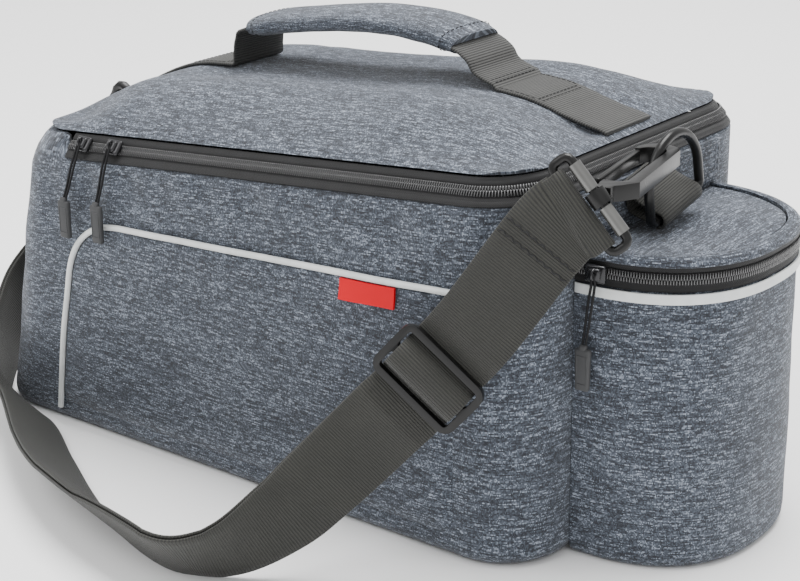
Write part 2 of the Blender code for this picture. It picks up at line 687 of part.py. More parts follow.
def handle_parts():
    """Webbing of the handle, and the padded grip with a slot for it."""
    across = Vector((0, 1, 0))
    path = curve_through(handle_line(), 0.005)
    for p in path:
        p.z = max(p.z, lid_height(p.x, 0) + WEBBING / 2 + GAP)
    rings = []
    for p, run in zip(path, tangents(path)):
        rings.append(place(box_section(HANDLE_WIDTH, WEBBING), p, across, run.cross(across)))
    loft("handle_webbing", rings, "webbing")
    span = HANDLE_REAR_FOOT - HANDLE_FRONT_FOOT
    start, end = HANDLE_FRONT_FOOT + span * 0.045, HANDLE_FRONT_FOOT + span * 0.90
    grip = [p for p in path[::2] if start < p.x < end and p.z > lid_height(p.x, 0) + HANDLE_RISE / 2]
    sides = 16
    power = 2 / 2.6
    outer = []
    for c, s in circle(1, sides):
        outer.append((math.copysign(abs(c) ** power, c) * GRIP_WIDTH / 2,
                      math.copysign(abs(s) ** power, s) * GRIP_THICK / 2))
    slot = []
    for c, s in circle(1, sides):
        slot.append((math.copysign(abs(c) ** 0.3, c) * (HANDLE_WIDTH / 2 + GAP),
                     math.copysign(abs(s) ** 0.3, s) * GRIP_SLOT / 2))
    frames = [(p, run.cross(across)) for p, run in zip(grip, tangents(grip))]
    out_rings = [place(outer, p, across, up) for p, up in frames]
    in_rings = [place(slot, p, across, up) for p, up in frames]
    loft("handle_grip", out_rings + list(reversed(in_rings)), "body_cloth", closed=True)


def ring_path(centre, across, up):
    """A D: straight bar at the foot, short legs and a half-ellipse arch."""
    half = (RING_INNER + RING_WIRE) / 2
    bend = RING_WIRE * 0.7
    flat = [(-half + bend, 0.0), (0.0, 0.0), (half - bend, 0.0)]
    for k in range(1, 3):
        turn = math.radians(-90 + 45 * k)
        flat.append((half - bend + bend * math.cos(turn), bend + bend * math.sin(turn)))
    for k in range(0, 11):
        turn = math.radians(180 * k / 10)
        flat.append((half * math.cos(turn), RING_LEG + RING_ARCH * math.sin(turn)))
    for k in range(0, 2):
        turn = math.radians(180 + 45 * k)
        flat.append((-half + bend + bend * math.cos(turn), bend + bend * math.sin(turn)))
    return [centre + across * a + up * b for a, b in flat]


def ring_station(end):
    """Middle of a ring's straight bar, and its outward, across and up directions."""
    if end > 0:
        out = Vector((1, 0, 0))
        z = ZIP_HEIGHT - RING_DROP
        face = HALF_LENGTH
        turn = RING_TILT
        across = RING_ACROSS
    else:
        out = Vector((-1, 0, FRONT_LEAN)).normalized()
        z = zip_level(-HALF_LENGTH) - RING_DROP - 0.012
        face = front_face(z)
        turn = 0.0
        across = 0.0
    side = Vector((0, 1, 0))
    rise = side.cross(out) if out.cross(side).z < 0 else out.cross(side)
    first = side * math.cos(turn) + rise * math.sin(turn)
    second = rise * math.cos(turn) - side * math.sin(turn)
    seat = Vector((face, across, z))
    return seat, out, first, second


def ring_and_tab(name, end):
    """D-ring held by a webbing tab that is sewn to the face, below the ring."""
    seat, out, first, second = ring_station(end)
    stand = RING_STAND
    centre = seat + out * stand
    tube(f"{name}_d_ring", ring_path(centre, first, second), RING_WIRE / 2, 8, "hardware", out, closed=True)
    reach = RING_WIRE / 2 + 2 * GAP + TAB_THICK / 2
    lay = PATCH_THICK + 2 * GAP + TAB_THICK / 2
    second_lay = lay + TAB_THICK + 2 * GAP
    # side view of the tab: distance out of the face and along the ring's up direction
    line = [(lay, TAB_LENGTH), (lay, TAB_LENGTH * 0.62), (lay, TAB_LENGTH * 0.34), (lay * 1.5, TAB_LENGTH * 0.08)]
    for k in range(9):
        turn = math.radians(215 + 27.5 * k)
        line.append((stand + reach * math.cos(turn), reach * math.sin(turn)))
    line += [(second_lay + (stand - second_lay) * 0.35, TAB_LENGTH * 0.42), (second_lay, TAB_LENGTH * 0.66),
             (second_lay, TAB_LENGTH)]
    path = [seat + out * a + second * b for a, b in line]
    rings = []
    for p, run in zip(path, tangents(path)):
        rings.append(place(box_section(TAB_WIDTH, TAB_THICK), p, first, run.cross(first)))
    loft(f"{name}_webbing_tab", rings, "webbing")


def rear_patch():
    """Stitched cloth patch behind the rear ring."""
    z = ZIP_HEIGHT - PATCH_DROP - PATCH_HEIGHT / 2
    centre = Vector((HALF_LENGTH + GAP + PATCH_THICK / 2, 0, z))
    plate("rear_patch", rounded(PATCH_WIDTH, PATCH_HEIGHT, 0.003), centre, Vector((0, 1, 0)),
          Vector((0, 0, 1)), PATCH_THICK, "body_cloth")


def front_patch():
    """Plain cloth patch behind the front ring."""
    seat, out, first, second = ring_station(-1)
    centre = seat + out * (GAP + PATCH_THICK / 2) + second * (TAB_LENGTH * 0.55)
    plate("front_patch", rounded(TAB_WIDTH * 1.5, PATCH_HEIGHT, 0.003), centre, first, second,
          PATCH_THICK, "body_cloth")


# Directions of the rear frame's bars and of the pull on them
FRAME_ALONG = Vector((0.65, 0.10, -0.76)).normalized()
FRAME_PULL = Vector((0.654, 0.429, 0.622)).normalized()
FRAME_PULL = (FRAME_PULL - FRAME_ALONG * FRAME_PULL.dot(FRAME_ALONG)).normalized()


def rear_hook_places():
    """Swivel bar, strap bar, and the hook's length and directions towards the ring."""
    seat, out, first, second = ring_station(1)
    half = (RING_INNER + RING_WIRE) / 2
    turn = math.radians(HOOKED_AT)
    arch = seat + out * RING_STAND - first * half * math.cos(turn)
    arch += second * (RING_LEG + RING_ARCH * math.sin(turn))
    swivel = Vector((HALF_LENGTH + SWIVEL_OUT, -HALF_WIDTH + SWIVEL_IN, ZIP_HEIGHT + SWIVEL_UP))
    arch -= out * (HOOK_EYE / 2 - RING_WIRE / 2 - RUNNING) * RING_ASIDE
    axis = (arch - swivel).normalized()
    side = (out - axis * out.dot(axis)).normalized()
    return swivel, swivel - FRAME_PULL * FRAME_DEPTH, (arch - swivel).length, axis, side


def hook_outline(reach, nose):
    """Flat outline of the hook without its gate: root, spine and nose."""
    half = HOOK_EYE / 2
    tip = reach + nose
    spine = half + HOOK_SPINE
    root = HOOK_ROOT
    neck = COLLAR_WIDTH / 2
    out = [(COLLAR_WALL + FRAME_WIRE / 2, -neck), (root - 0.006, -neck), (root - 0.004, -half + 0.002),
           (root, -half + 0.002), (root, half - 0.003), (root + 0.003, half)]
    start = tip - half * 0.6
    out += [(start, half)] + nose_arc(start, half, half, half * 0.6, 5)
    out += [(tip - 0.004, -half - GATE_THICK * 0.2), (tip - 0.004, -half - GATE_THICK)]
    out += list(reversed(nose_arc(start, spine, half + GATE_THICK, half * 0.6 + HOOK_SPINE * 1.3, 7)))
    out += [(root + 0.002, spine), (root - 0.005, half), (root - 0.007, neck),
            (COLLAR_WALL + FRAME_WIRE / 2, neck)]
    return out


def nose_arc(start, high, low, depth, count):
    """Half-round end of the eye from the spine side to the gate side."""
    turns = [math.radians(90 - 160 * k / count) for k in range(1, count + 1)]
    return [(start + depth * math.cos(t), (high if t > 0 else low) * math.sin(t)) for t in turns]


def hook_body(name, swivel, axis, side, frame_along, reach, nose):
    body = plate(name, hook_outline(reach, nose), swivel, axis, side, HOOK_THICK, "hardware")
    inner = FRAME_WIRE / 2 + RUNNING
    outer = inner + COLLAR_WALL
    first = (axis - frame_along * axis.dot(frame_along)).normalized()
    second = frame_along.cross(first)
    ends = [swivel + frame_along * s * COLLAR_WIDTH / 2 for s in (-1, 1)]
    rings = [place(circle(outer, 20), p, first, second) for p in ends]
    rings += [place(circle(inner, 20), p, first, second) for p in reversed(ends)]
    collar = loft(f"{name}_collar", rings, "hardware", closed=True)
    return combine(name, body, collar, "UNION")


def frame_path(swivel, along, pull, width):
    half = width / 2 + FRAME_ROOM + FRAME_WIRE / 2
    bend = 0.003
    flat = []
    for cx, cy, start in ((1, 0, 0), (-1, 0, 90), (-1, -1, 180), (1, -1, 270)):
        centre = (cx * (half - bend), cy * FRAME_DEPTH - (bend if cy == 0 else -bend))
        for k in range(4):
            turn = math.radians(start + 30 * k)
            flat.append((centre[0] + bend * math.cos(turn), centre[1] + bend * math.sin(turn)))
    return [swivel + along * a + pull * b for a, b in flat]


def rear_hook():
    """Swivel frame, snap hook and its spring gate at the rear ring."""
    swivel, strap_bar, reach, axis, side = rear_hook_places()
    normal = FRAME_ALONG.cross(FRAME_PULL)
    tube("rear_hook_frame", frame_path(swivel, FRAME_ALONG, FRAME_PULL, STRAP_WIDTH), FRAME_WIRE / 2, 10,
         "hardware", normal, closed=True)
    hook_body("rear_hook", swivel, axis, side, FRAME_ALONG, reach, HOOK_NOSE)
    gate(swivel, reach, axis, side)


def gate(swivel, reach, axis, side):
    """Spring gate: its object's origin is on the pivot, near the root of the eye."""
    pivot = swivel + axis * (HOOK_ROOT + GATE_ROOT) - side * (HOOK_EYE / 2 + GATE_THICK / 2)
    length = reach + HOOK_NOSE - 0.004 - GAP - (HOOK_ROOT + GATE_ROOT)
    knuckle = GATE_THICK / 2
    outline = []
    for k in range(7):
        turn = math.radians(90 + 30 * k)
        outline.append((knuckle * math.cos(turn), knuckle * math.sin(turn)))
    outline += [(length, -GATE_THICK / 2), (length, GATE_THICK / 2)]
    made = plate("rear_hook_gate", outline, Vector((0, 0, 0)), axis, side, GATE_DEEP, "hardware")
    made.location = pivot


def front_hook_places():
    seat, out, first, second = ring_station(-1)
    bar = seat + out * (RING_STAND + FRAME_REACH) + Vector((0, -FRAME_ASIDE, -FRAME_DROP))
    along = Vector(FRONT_EDGE).normalized()
    pull = Vector(FRONT_PULL)
    pull = (pull - along * pull.dot(along)).normalized()
    return bar, along, pull


def front_hook():
    """Plain clasp of the hidden front end: frame and closed hook in one piece."""
    bar, along, pull = front_hook_places()
    seat, out, first, second = ring_station(-1)
    swivel = bar + pull * FRAME_DEPTH
    normal = along.cross(pull)
    frame = tube("front_frame", frame_path(swivel, along, pull, STRAP_WIDTH), FRAME_WIRE / 2, 10, "hardware",
                 normal, closed=True)
    crossing = seat + out * RING_STAND
    wire = RING_WIRE / 2 + GAP + HOOK_SPINE / 2
    # the loop goes round the ring's wire where the arch passes, in a plane square to it
    lowest = crossing + second * (RING_LEG + RING_ARCH)
    centre = lowest
    loop = []
    for k in range(12):
        turn = math.radians(30 * k)
        loop.append(centre + out * wire * math.cos(turn) + second * wire * 1.2 * math.sin(turn))
    eye = tube("front_eye", loop, HOOK_SPINE / 2, 8, "hardware", Vector((0, 1, 0)), closed=True)
    start = centre + out * wire
    shank_path = [start, start.lerp(swivel, 0.4) + out * SHANK_BOW, swivel]
    shank = tube("front_shank", curve_through(shank_path, STRAP_STEP), HOOK_SPINE / 2 * 0.92, 8, "hardware",
                 Vector((0, 1, 0)))
    joined = combine("front_joined", frame, shank, "UNION")
    return combine("front_hook", joined, eye, "UNION")


# The shoulder strap's route from the rear frame to the front one. Each row gives the
# middle of the webbing as shares of the body's half length, half width and zip height,
# and the direction from its upper to its lower edge.
STRAP_ROUTE = [
    # along, across, up, edge x, edge y, edge z
    (0.920, -1.14, 0.693, 0.70, 0.18, -0.71),
    (0.815, -1.23, 0.553, 0.70, 0.23, -0.67),
    (0.722, -1.30, 0.441, 0.67, 0.28, -0.68),
    (0.645, -1.37, 0.346, 0.60, 0.29, -0.75),
    (0.579, -1.49, 0.257, 0.48, 0.37, -0.79),
    (0.523, -1.61, 0.184, 0.33, 0.47, -0.82),
    (0.430, -1.82, 0.106, -0.09, 0.53, -0.84),
    (0.290, -1.96, 0.082, -0.46, 0.53, -0.72),
    (0.011, -1.87, 0.082, -0.60, 0.62, -0.51),
    (-0.210, -1.72, 0.080, -0.48, 0.75, -0.46),
    (-0.435, -1.50, 0.070, -0.28, 0.82, -0.49),
    (-0.660, -1.25, 0.072, -0.16, 0.78, -0.60),
    (-0.880, -1.09, 0.100, -0.35, 0.52, -0.78),
    (-1.030, -0.82, 0.140, -0.35, 0.74, -0.58),
    (-1.095, -0.57, 0.240, -0.15, 0.88, -0.45),
    (-1.092, -0.385, 0.335, 0.00, 0.95, -0.30),
]
GLIDE_ROW = 1


def strap_frames():
    """Middle, edge direction and outward normal all along the strap's route."""
    swivel, strap_bar, reach, axis, side = rear_hook_places()
    bar, along, pull = front_hook_places()
    rows = [(*strap_bar, *FRAME_ALONG), (*(strap_bar - FRAME_PULL * FRAME_LEAD), *FRAME_ALONG)]
    for x, y, z, ex, ey, ez in STRAP_ROUTE:
        rows.append((x * HALF_LENGTH, y * HALF_WIDTH, z * ZIP_HEIGHT, ex, ey, ez))
    rows.append((*(bar - pull * FRAME_LEAD), *along))
    rows.append((*bar, *along))
    middles = [Vector(r[:3]) for r in rows]
    edges = [Vector(r[3:]).normalized() for r in rows]
    distance = [0.0]
    for a, b in zip(middles, middles[1:]):
        distance.append(distance[-1] + (b - a).length)
    path = curve_through([(*m, e.x * 0.05, e.y * 0.05, e.z * 0.05) for m, e in zip(middles, edges)], STRAP_STEP)
    centres = [Vector(p[:3]) for p in path]
    frames = []
    for p, run, c in zip(path, tangents(centres), centres):
        edge = Vector(p[3:])
        edge = (edge - run * edge.dot(run)).normalized()
        out = run.cross(edge)
        reach = STRAP_WIDTH / 2
        lowest = c.z - reach * abs(edge.z) - (STRAP_THICK + LAYER_GAP) * abs(out.z)
        lift = max(0.0, FLOOR_GAP - lowest)
        frames.append((c + Vector((0, 0, lift)), run, edge, out))
    # the webbing leaves both bars square to them
    for n in (0, 1):
        away = -FRAME_PULL * STRAP_STEP * n
        frames[n] = (strap_bar + away, -FRAME_PULL, FRAME_ALONG, FRAME_ALONG.cross(FRAME_PULL))
        frames[-1 - n] = (bar - pull * STRAP_STEP * n, pull, along, pull.cross(along))
    return frames


def nearest(frames, target):
    return min(range(len(frames)), key=lambda k: (frames[k][0] - target).length)


def glide_frame(frames):
    x, y, z = STRAP_ROUTE[GLIDE_ROW][:3]
    k = nearest(frames, Vector((x * HALF_LENGTH, y * HALF_WIDTH, z * ZIP_HEIGHT)))
    return k, frames[k]


def tri_glide(frames):
    """Slide buckle: a rounded plate with two slots and a bar between them."""
    k, (centre, run, edge, out) = glide_frame(frames)
    thick = GLIDE_BAR
    body = plate("tri_glide_plate", rounded(GLIDE_LENGTH, GLIDE_WIDTH, 0.006, 4), centre, edge, run, thick, "hardware")
    slot = (GLIDE_WIDTH - 3 * GLIDE_BAR) / 2
    offset = (GLIDE_BAR + slot) / 2
    made = body
    for number, side in enumerate((-1, 1)):
        cut = plate(f"slot_{number}", rounded(STRAP_WIDTH + 2 * FRAME_ROOM, slot, 0.0015, 2),
                    centre + run * side * offset, edge, run, thick * 3, "hardware")
        made = combine("tri_glide", made, cut, "DIFFERENCE")
    return made


def rear_end(frames, k):
    """Hem sewn behind the single layer, the turn round the rear bar and the single layer."""
    half = STRAP_THICK / 2
    wrap = FRAME_WIRE / 2 + GAP + half
    middle = frames[k][0]
    line = []
    hem = max(3, round(HEM / STRAP_STEP))
    for j in range(hem, 0, -1):
        c, r, e, o = frames[j]
        away = wrap * 0.6 if j == 1 else STRAP_THICK + LAYER_GAP
        line.append((c - o * away, e, -o))
    c, r, e, o = frames[0]
    for n in range(9):
        turn = math.radians(100 - 25 * n)
        radial = -r * math.cos(turn) - o * math.sin(turn)
        line.append((c + radial * wrap, e, radial))
    for j in range(1, k):
        c, r, e, o = frames[j]
        if (c - middle).length > GLIDE_WIDTH * 0.85:
            line.append((c + o * (wrap * 0.45 if j == 1 else 0.0), e, o))
    return line


def buckle_line():
    """Stretch of the running layer through the buckle, in distance along and out."""
    bar = GLIDE_BAR / 2
    half = STRAP_THICK / 2
    behind = -(bar + GAP + half)
    over = bar * LOOP_SHARE + 2 * GAP + STRAP_THICK + half
    pitch = (GLIDE_WIDTH - GLIDE_BAR) / 2
    side = [(1.5, behind), (1.12, behind), (0.88, behind), (0.70, behind * 0.6), (0.56, over * 0.25),
            (0.43, over * 0.72), (0.28, over * 0.95), (0.12, over)]
    return [(-pitch * a, b) for a, b in side] + [(pitch * a, b) for a, b in reversed(side)]


def shoulder_strap(frames):
    """The strap as one webbing: hem, rear bar, single layer, buckle, the outer layer to
    the front bar, round it, and back as the inner layer to the buckle's middle bar."""
    k, (middle, run, edge, out) = glide_frame(frames)
    half = STRAP_THICK / 2
    wrap = FRAME_WIRE / 2 + GAP + half
    layer = (STRAP_THICK + LAYER_GAP) / 2
    pitch = (GLIDE_WIDTH - GLIDE_BAR) / 2
    far = GLIDE_BAR / 2 + 3 * GAP + STRAP_THICK * 1.5
    line = rear_end(frames, k)
    for along, away in buckle_line():
        line.append((middle + run * along + out * away, edge, None))
    last = len(frames) - 1
    outer = [j for j in range(k + 1, last) if (frames[j][0] - middle).length > GLIDE_WIDTH * 0.85]
    end = frames[last][0]
    spread = {}
    for j in outer:
        near_end = 1 - smoothstep(0.0, FRAME_LEAD, (end - frames[j][0]).length)
        spread[j] = layer + (wrap - layer) * near_end
    for j in outer:
        c, r, e, o = frames[j]
        line.append((c + o * spread[j], e, o))
    c, r, e, o = frames[last]
    for n in range(8):
        turn = math.radians(90 - 180 * n / 7)
        radial = r * math.cos(turn) + o * math.sin(turn)
        line.append((c + radial * wrap, e, radial))
    for j in reversed(outer):
        c, r, e, o = frames[j]
        line.append((c - o * spread[j], e, -o))
    radius = GLIDE_BAR / 2 * LOOP_SHARE + GAP + half
    for share, away in ((1.5, far), (1.12, far), (0.8, far), (0.4, radius)):
        line.append((middle + run * pitch * share - out * away, edge, -out))
    for n in range(1, 9):
        turn = math.radians(-90 - 27.5 * n)
        radial = run * math.cos(turn) + out * math.sin(turn)
        line.append((middle + radial * radius, edge, radial))
    rings = []
    for (p, e, normal), r in zip(line, tangents([p for p, e, n in line])):
        if normal is None:
            e = (e - r * e.dot(r)).normalized()
            normal = r.cross(e)
        rings.append(place(box_section(STRAP_WIDTH, STRAP_THICK), p, e, normal))
    return loft("shoulder_strap", rings, "webbing")


def build():
    clear_scene()
    main_shell()
    main_zipper()
    lid()
    side_pocket(-1, "near")
    side_pocket(1, "far")
    red_tag()
    bottle_pocket()
    pocket_zipper()
    pocket_lid()
    reflective_band()
    main_sliders()
    pocket_slider()
    handle_parts()
    rear_patch()
    front_patch()
    ring_and_tab("rear", 1)
    ring_and_tab("front", -1)
    rear_hook()
    front_hook()
    frames = strap_frames()
    tri_glide(frames)
    shoulder_strap(frames)


build()
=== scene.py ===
"""Dressed view of the bicycle trunk bag: cloth, zips, webbing, hardware, light and camera.

Metres, +Z up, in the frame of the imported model.
"""
import math

import bmesh
import bpy
from mathutils import Matrix, Vector, noise


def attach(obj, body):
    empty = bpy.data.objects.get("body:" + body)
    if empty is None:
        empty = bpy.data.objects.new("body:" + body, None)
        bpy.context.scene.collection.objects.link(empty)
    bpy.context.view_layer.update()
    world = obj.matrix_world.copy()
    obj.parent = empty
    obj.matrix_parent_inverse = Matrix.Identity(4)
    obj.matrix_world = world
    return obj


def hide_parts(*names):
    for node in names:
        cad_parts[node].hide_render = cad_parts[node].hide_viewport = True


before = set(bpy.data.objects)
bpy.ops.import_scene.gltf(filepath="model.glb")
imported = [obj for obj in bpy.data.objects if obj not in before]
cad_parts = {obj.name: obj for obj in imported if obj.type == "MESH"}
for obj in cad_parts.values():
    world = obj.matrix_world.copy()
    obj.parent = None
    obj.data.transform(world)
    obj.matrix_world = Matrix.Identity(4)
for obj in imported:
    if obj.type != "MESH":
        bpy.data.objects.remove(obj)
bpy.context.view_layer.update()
BODY = "bag"

# Sizes of the model
BODY_LENGTH = 0.363
BODY_WIDTH = 0.200
HALF_LENGTH = BODY_LENGTH / 2
HALF_WIDTH = BODY_WIDTH / 2
ZIP_HEIGHT = 0.179
ZIP_FALL = 0.081
FRONT_LEAN = 0.227
CORNER_RADIUS = 0.034
BASE_ROUND = 0.008
PADDED_CLOTH = 0.003
GAP = 0.0004
ZIP_TAPE = 0.014
ZIP_TILT = math.radians(40)
TAPE_THICK = 0.0016
ZIP_INSET = 0.005
COIL_WIDTH = 0.0056
COIL_RISE = 0.0012
ZIP_END = 0.078
SEAM_BLEND = 0.006
LID_DOME = 0.020
DOME_SIDE = 0.048
DOME_FRONT = 0.062
DOME_REAR = 0.085
SIDE_PANEL = 0.0016
PIPING = 0.0032
POCKET_FRONT = 0.062
POCKET_LEAN = 0.190
POCKET_TOP_REAR = 0.131
POCKET_TOP_FALL = 0.052
POCKET_BEND = 0.034
POCKET_REAR = 0.040
POCKET_FOOT = 0.009
POCKET_RUN_ON = 0.006
TAG_LENGTH = 0.032
TAG_DROP = 0.0098
TAG_THICK = 0.0012
TAG_REAR = 0.067
BOTTLE_WIDTH = 0.124
BOTTLE_DEPTH = 0.066
BOTTLE_ZIP = 0.140
BOTTLE_POWER = 2.4
BOTTLE_CROWN = 0.003
BOTTLE_FALL = 0.004
LOWER_TAPE = 0.006
UPPER_TAPE = 0.0085
BAND_HEIGHT = 0.0045
BAND_THICK = 0.0008
POCKET_LID_INSET = 0.0062
SLIDER_LENGTH = 0.010
SLIDER_WIDTH = 0.008
SLIDER_THICK = 0.0026
SLIDER_FRONT = 0.091
SLIDER_REAR = 0.113
PULL_CORD = 0.0022
PULL_DROP = 0.030
PULL_LENGTH = 0.020
PULL_WIDTH = 0.0078
PULL_THICK = 0.003
HANDLE_WIDTH = 0.038
WEBBING = 0.0016
HANDLE_RISE = 0.026
GRIP_WIDTH = 0.0415
GRIP_THICK = 0.012
GRIP_SLOT = 0.0030
HANDLE_FRONT_END = -0.119
HANDLE_FRONT_FOOT = -0.060
HANDLE_REAR_FOOT = 0.101
RING_INNER = 0.038
RING_WIRE = 0.0045
RING_LEG = 0.012
RING_ARCH = 0.022
RING_STAND = 0.018
RING_TILT = math.radians(12)
RING_ACROSS = -0.007
RING_DROP = 0.0215
TAB_WIDTH = 0.033
TAB_THICK = 0.0014
TAB_LENGTH = 0.017
PATCH_WIDTH = 0.124
PATCH_HEIGHT = 0.0205
PATCH_THICK = 0.0015
PATCH_DROP = 0.0075
FRAME_WIRE = 0.0042
FRAME_DEPTH = 0.009
FRAME_REACH = 0.012
FRAME_LEAD = 0.016
FRAME_ASIDE = 0.020
FRAME_DROP = 0.026
SWIVEL_OUT = 0.027
SWIVEL_IN = 0.014
SWIVEL_UP = 0.003
STRAP_WIDTH = 0.038
STRAP_THICK = 0.0014
LAYER_GAP = 0.0006
STRAP_STEP = 0.006
HEM = 0.026
FLOOR_GAP = 0.0005
GLIDE_WIDTH = 0.029
GLIDE_BAR = 0.0034
LOOP_SHARE = 1.6

# Camera
CAMERA_AT = Vector((0.5961, -0.7021, 0.4072))
CAMERA_YAW = 38.65
CAMERA_PITCH = 20.07
CAMERA_ROLL = -0.83
CAMERA_LENS = 83.0
SENSOR = 36.0


# Shader maths
class Value:
    """A shader socket that takes part in arithmetic."""

    def __init__(self, shader, socket):
        self.shader, self.socket = shader, socket

    def math(self, operation, *others):
        made = self.shader.tree.nodes.new("ShaderNodeMath")
        made.operation = operation
        for slot, value in zip(made.inputs, others):
            self.shader.put(slot, value)
        return Value(self.shader, made.outputs[0])

    def __add__(self, other):
        return self.math("ADD", self, other)

    def __sub__(self, other):
        return self.math("SUBTRACT", self, other)

    def __mul__(self, other):
        return self.math("MULTIPLY", self, other)

    def __truediv__(self, other):
        return self.math("DIVIDE", self, other)

    def __radd__(self, other):
        return self.math("ADD", other, self)

    def __rsub__(self, other):
        return self.math("SUBTRACT", other, self)

    def __rmul__(self, other):
        return self.math("MULTIPLY", other, self)

    def __rtruediv__(self, other):
        return self.math("DIVIDE", other, self)

    def __pow__(self, other):
        return self.math("POWER", self, other)

    def size(self):
        return self.math("ABSOLUTE", self)

    def whole(self):
        return self.math("FLOOR", self)

    def part(self):
        return self.math("FRACT", self)


class Shader:
    """A Principled material that is built node by node."""

    def __init__(self, name, colour=(0.5, 0.5, 0.5), rough=0.5, metal=0.0, sheen=0.0):
        self.material = bpy.data.materials.new(name)
        self.material.use_nodes = True
        self.tree = self.material.node_tree
        self.surface = self.tree.nodes["Principled BSDF"]
        self.set("Base Color", (*colour, 1))
        self.set("Roughness", rough)
        self.set("Metallic", metal)
        self.set("Sheen Weight", sheen)

    def put(self, socket, value):
        if isinstance(value, Value):
            self.tree.links.new(value.socket, socket)
        elif isinstance(value, bpy.types.NodeSocket):
            self.tree.links.new(value, socket)
        else:
            socket.default_value = value

    def set(self, name, value):
        self.put(self.surface.inputs[name], value)

    def node(self, kind, settings=None, values=None):
        made = self.tree.nodes.new(kind)
        for name, value in (settings or {}).items():
            setattr(made, name, value)
        for name, value in (values or {}).items():
            self.put(made.inputs[name], value)
        return made

    def uv(self):
        made = self.node("ShaderNodeSeparateXYZ", values={0: self.node("ShaderNodeUVMap").outputs[0]})
        return Value(self, made.outputs[0]), Value(self, made.outputs[1])

    def place(self):
        return self.node("ShaderNodeTexCoord").outputs["Object"]

    def vector(self, x, y, z=0.0):
        return self.node("ShaderNodeCombineXYZ", values={0: x, 1: y, 2: z}).outputs[0]

    def chance(self, x, y):
        """An even random value for each whole pair."""
        made = self.node("ShaderNodeTexWhiteNoise", {"noise_dimensions": "2D"}, {"Vector": self.vector(x, y)})
        return Value(self, made.outputs["Value"])

    def cloud(self, vector, scale, detail=2.0):
        made = self.node("ShaderNodeTexNoise", values={"Vector": vector, "Scale": scale, "Detail": detail})
        return Value(self, made.outputs[0])

    def mix(self, share, first, second):
        made = self.node("ShaderNodeMix", {"data_type": "RGBA"}, {"Factor": share})
        self.put(made.inputs[6], first if not isinstance(first, tuple) else (*first, 1))
        self.put(made.inputs[7], second if not isinstance(second, tuple) else (*second, 1))
        return made.outputs[2]

    def ramp(self, share, stops):
        made = self.node("ShaderNodeValToRGB", values={"Fac": share})
        ramp = made.color_ramp
        while len(ramp.elements) < len(stops):
            ramp.elements.new(0.5)
        for element, (at, colour) in zip(ramp.elements, stops):
            element.position = at
            element.color = (*colour, 1)
        return made.outputs[0]

    def relief(self, height, distance, strength=1.0):
        made = self.node("ShaderNodeBump", values={"Height": height, "Distance": distance,
                                                   "Strength": strength})
        self.set("Normal", made.outputs[0])


ROW_PITCH = 0.00058
YARN_PITCH = 0.00052
LONG_STREAK = 0.0040
SHORT_STREAK = 0.0013
MELANGE_TONES = [(0.16, (0.008, 0.010, 0.016)), (0.42, (0.036, 0.044, 0.060)),
                 (0.60, (0.080, 0.096, 0.124)), (0.92, (0.32, 0.36, 0.43))]


def melange():
    """Blue-grey cloth woven of light and dark yarns, with short streaks along u."""
    s = Shader("melange_cloth", rough=0.85, sheen=0.15)
    u, v = s.uv()
    row = (v / ROW_PITCH).whole()
    slip = s.chance(row, 3.0) * 40
    long_run = s.chance((u / LONG_STREAK + slip).whole(), row)
    short_run = s.chance((u / SHORT_STREAK + slip * 1.7).whole(), row + 911.0)
    stitch = s.chance((u / YARN_PITCH).whole(), row + 77.0)
    drift = s.cloud(s.vector(u * 60, v * 900), 1.0, 1.0)
    broad = s.cloud(s.vector(u * 9, v * 60), 1.0, 2.0)
    tone = long_run * 0.40 + short_run * 0.22 + stitch * 0.42 + drift * 0.30 + broad * 0.20 - 0.30
    warp = ((u / YARN_PITCH).part() - 0.5).size() * 2
    weft = ((v / ROW_PITCH).part() - 0.5).size() * 2
    s.set("Base Color", s.ramp(tone - (warp * weft) * 0.10, MELANGE_TONES))
    height = (1 - warp) * 0.35 + (1 - weft) * 0.5 + stitch * 0.3
    s.relief(height, 0.00022, 0.7)
    return s.material


def woven(name, colour, rib_highlight, rib=0.00125, side=0.00105, rough=0.72):
    """Ribbed webbing: u runs along it and v across; its colour carries painted rib highlights and painted
    shade in the grooves.
    """
    s = Shader(name, rough=rough, sheen=0.1)
    u, v = s.uv()
    over = 1 - (((u / rib).part() - 0.5).size() * 2) ** 2.2
    under = 1 - (((v / side).part() - 0.5).size() * 2) ** 2.2
    height = over * (0.88 + 0.12 * under)
    fibre = s.cloud(s.vector(u * 900, v * 5200), 1.0, 2.0)
    wear = s.cloud(s.place(), 55.0, 3.0)
    # Colour follows the rib height: painted highlight on the raised ribs and painted shade in the grooves,
    # mixed with random fibre and wear tone.
    tone = height * 0.75 + fibre * 0.35 + wear * 0.25 - 0.28
    # The darkest stop is painted groove shade and the brightest stop is a painted rib highlight.
    low = tuple(c * 0.35 for c in colour)
    s.set("Base Color", s.ramp(tone, [(0.05, low), (0.5, colour), (0.95, rib_highlight)]))
    s.relief(height + fibre * 0.25, 0.00035, 0.9)
    return s.material


def plastic(name, colour, rough=0.38, grain=900.0, depth=0.00004, metal=0.0, coat=0.0, shine=0.3):
    """Moulded plastic or coated metal with a fine grain and slight mottling."""
    s = Shader(name, colour, rough, metal)
    place = s.place()
    fine = s.cloud(place, grain, 2.0)
    soft = s.cloud(place, 60.0, 2.0)
    s.set("Roughness", (rough - 0.08) + soft * 0.16)
    s.set("Base Color", s.mix(soft, tuple(c * 0.8 for c in colour), tuple(min(1, c * 1.25) for c in colour)))
    s.set("Coat Weight", coat)
    s.set("Specular IOR Level", shine)
    s.relief(fine, depth, 0.6)
    return s.material


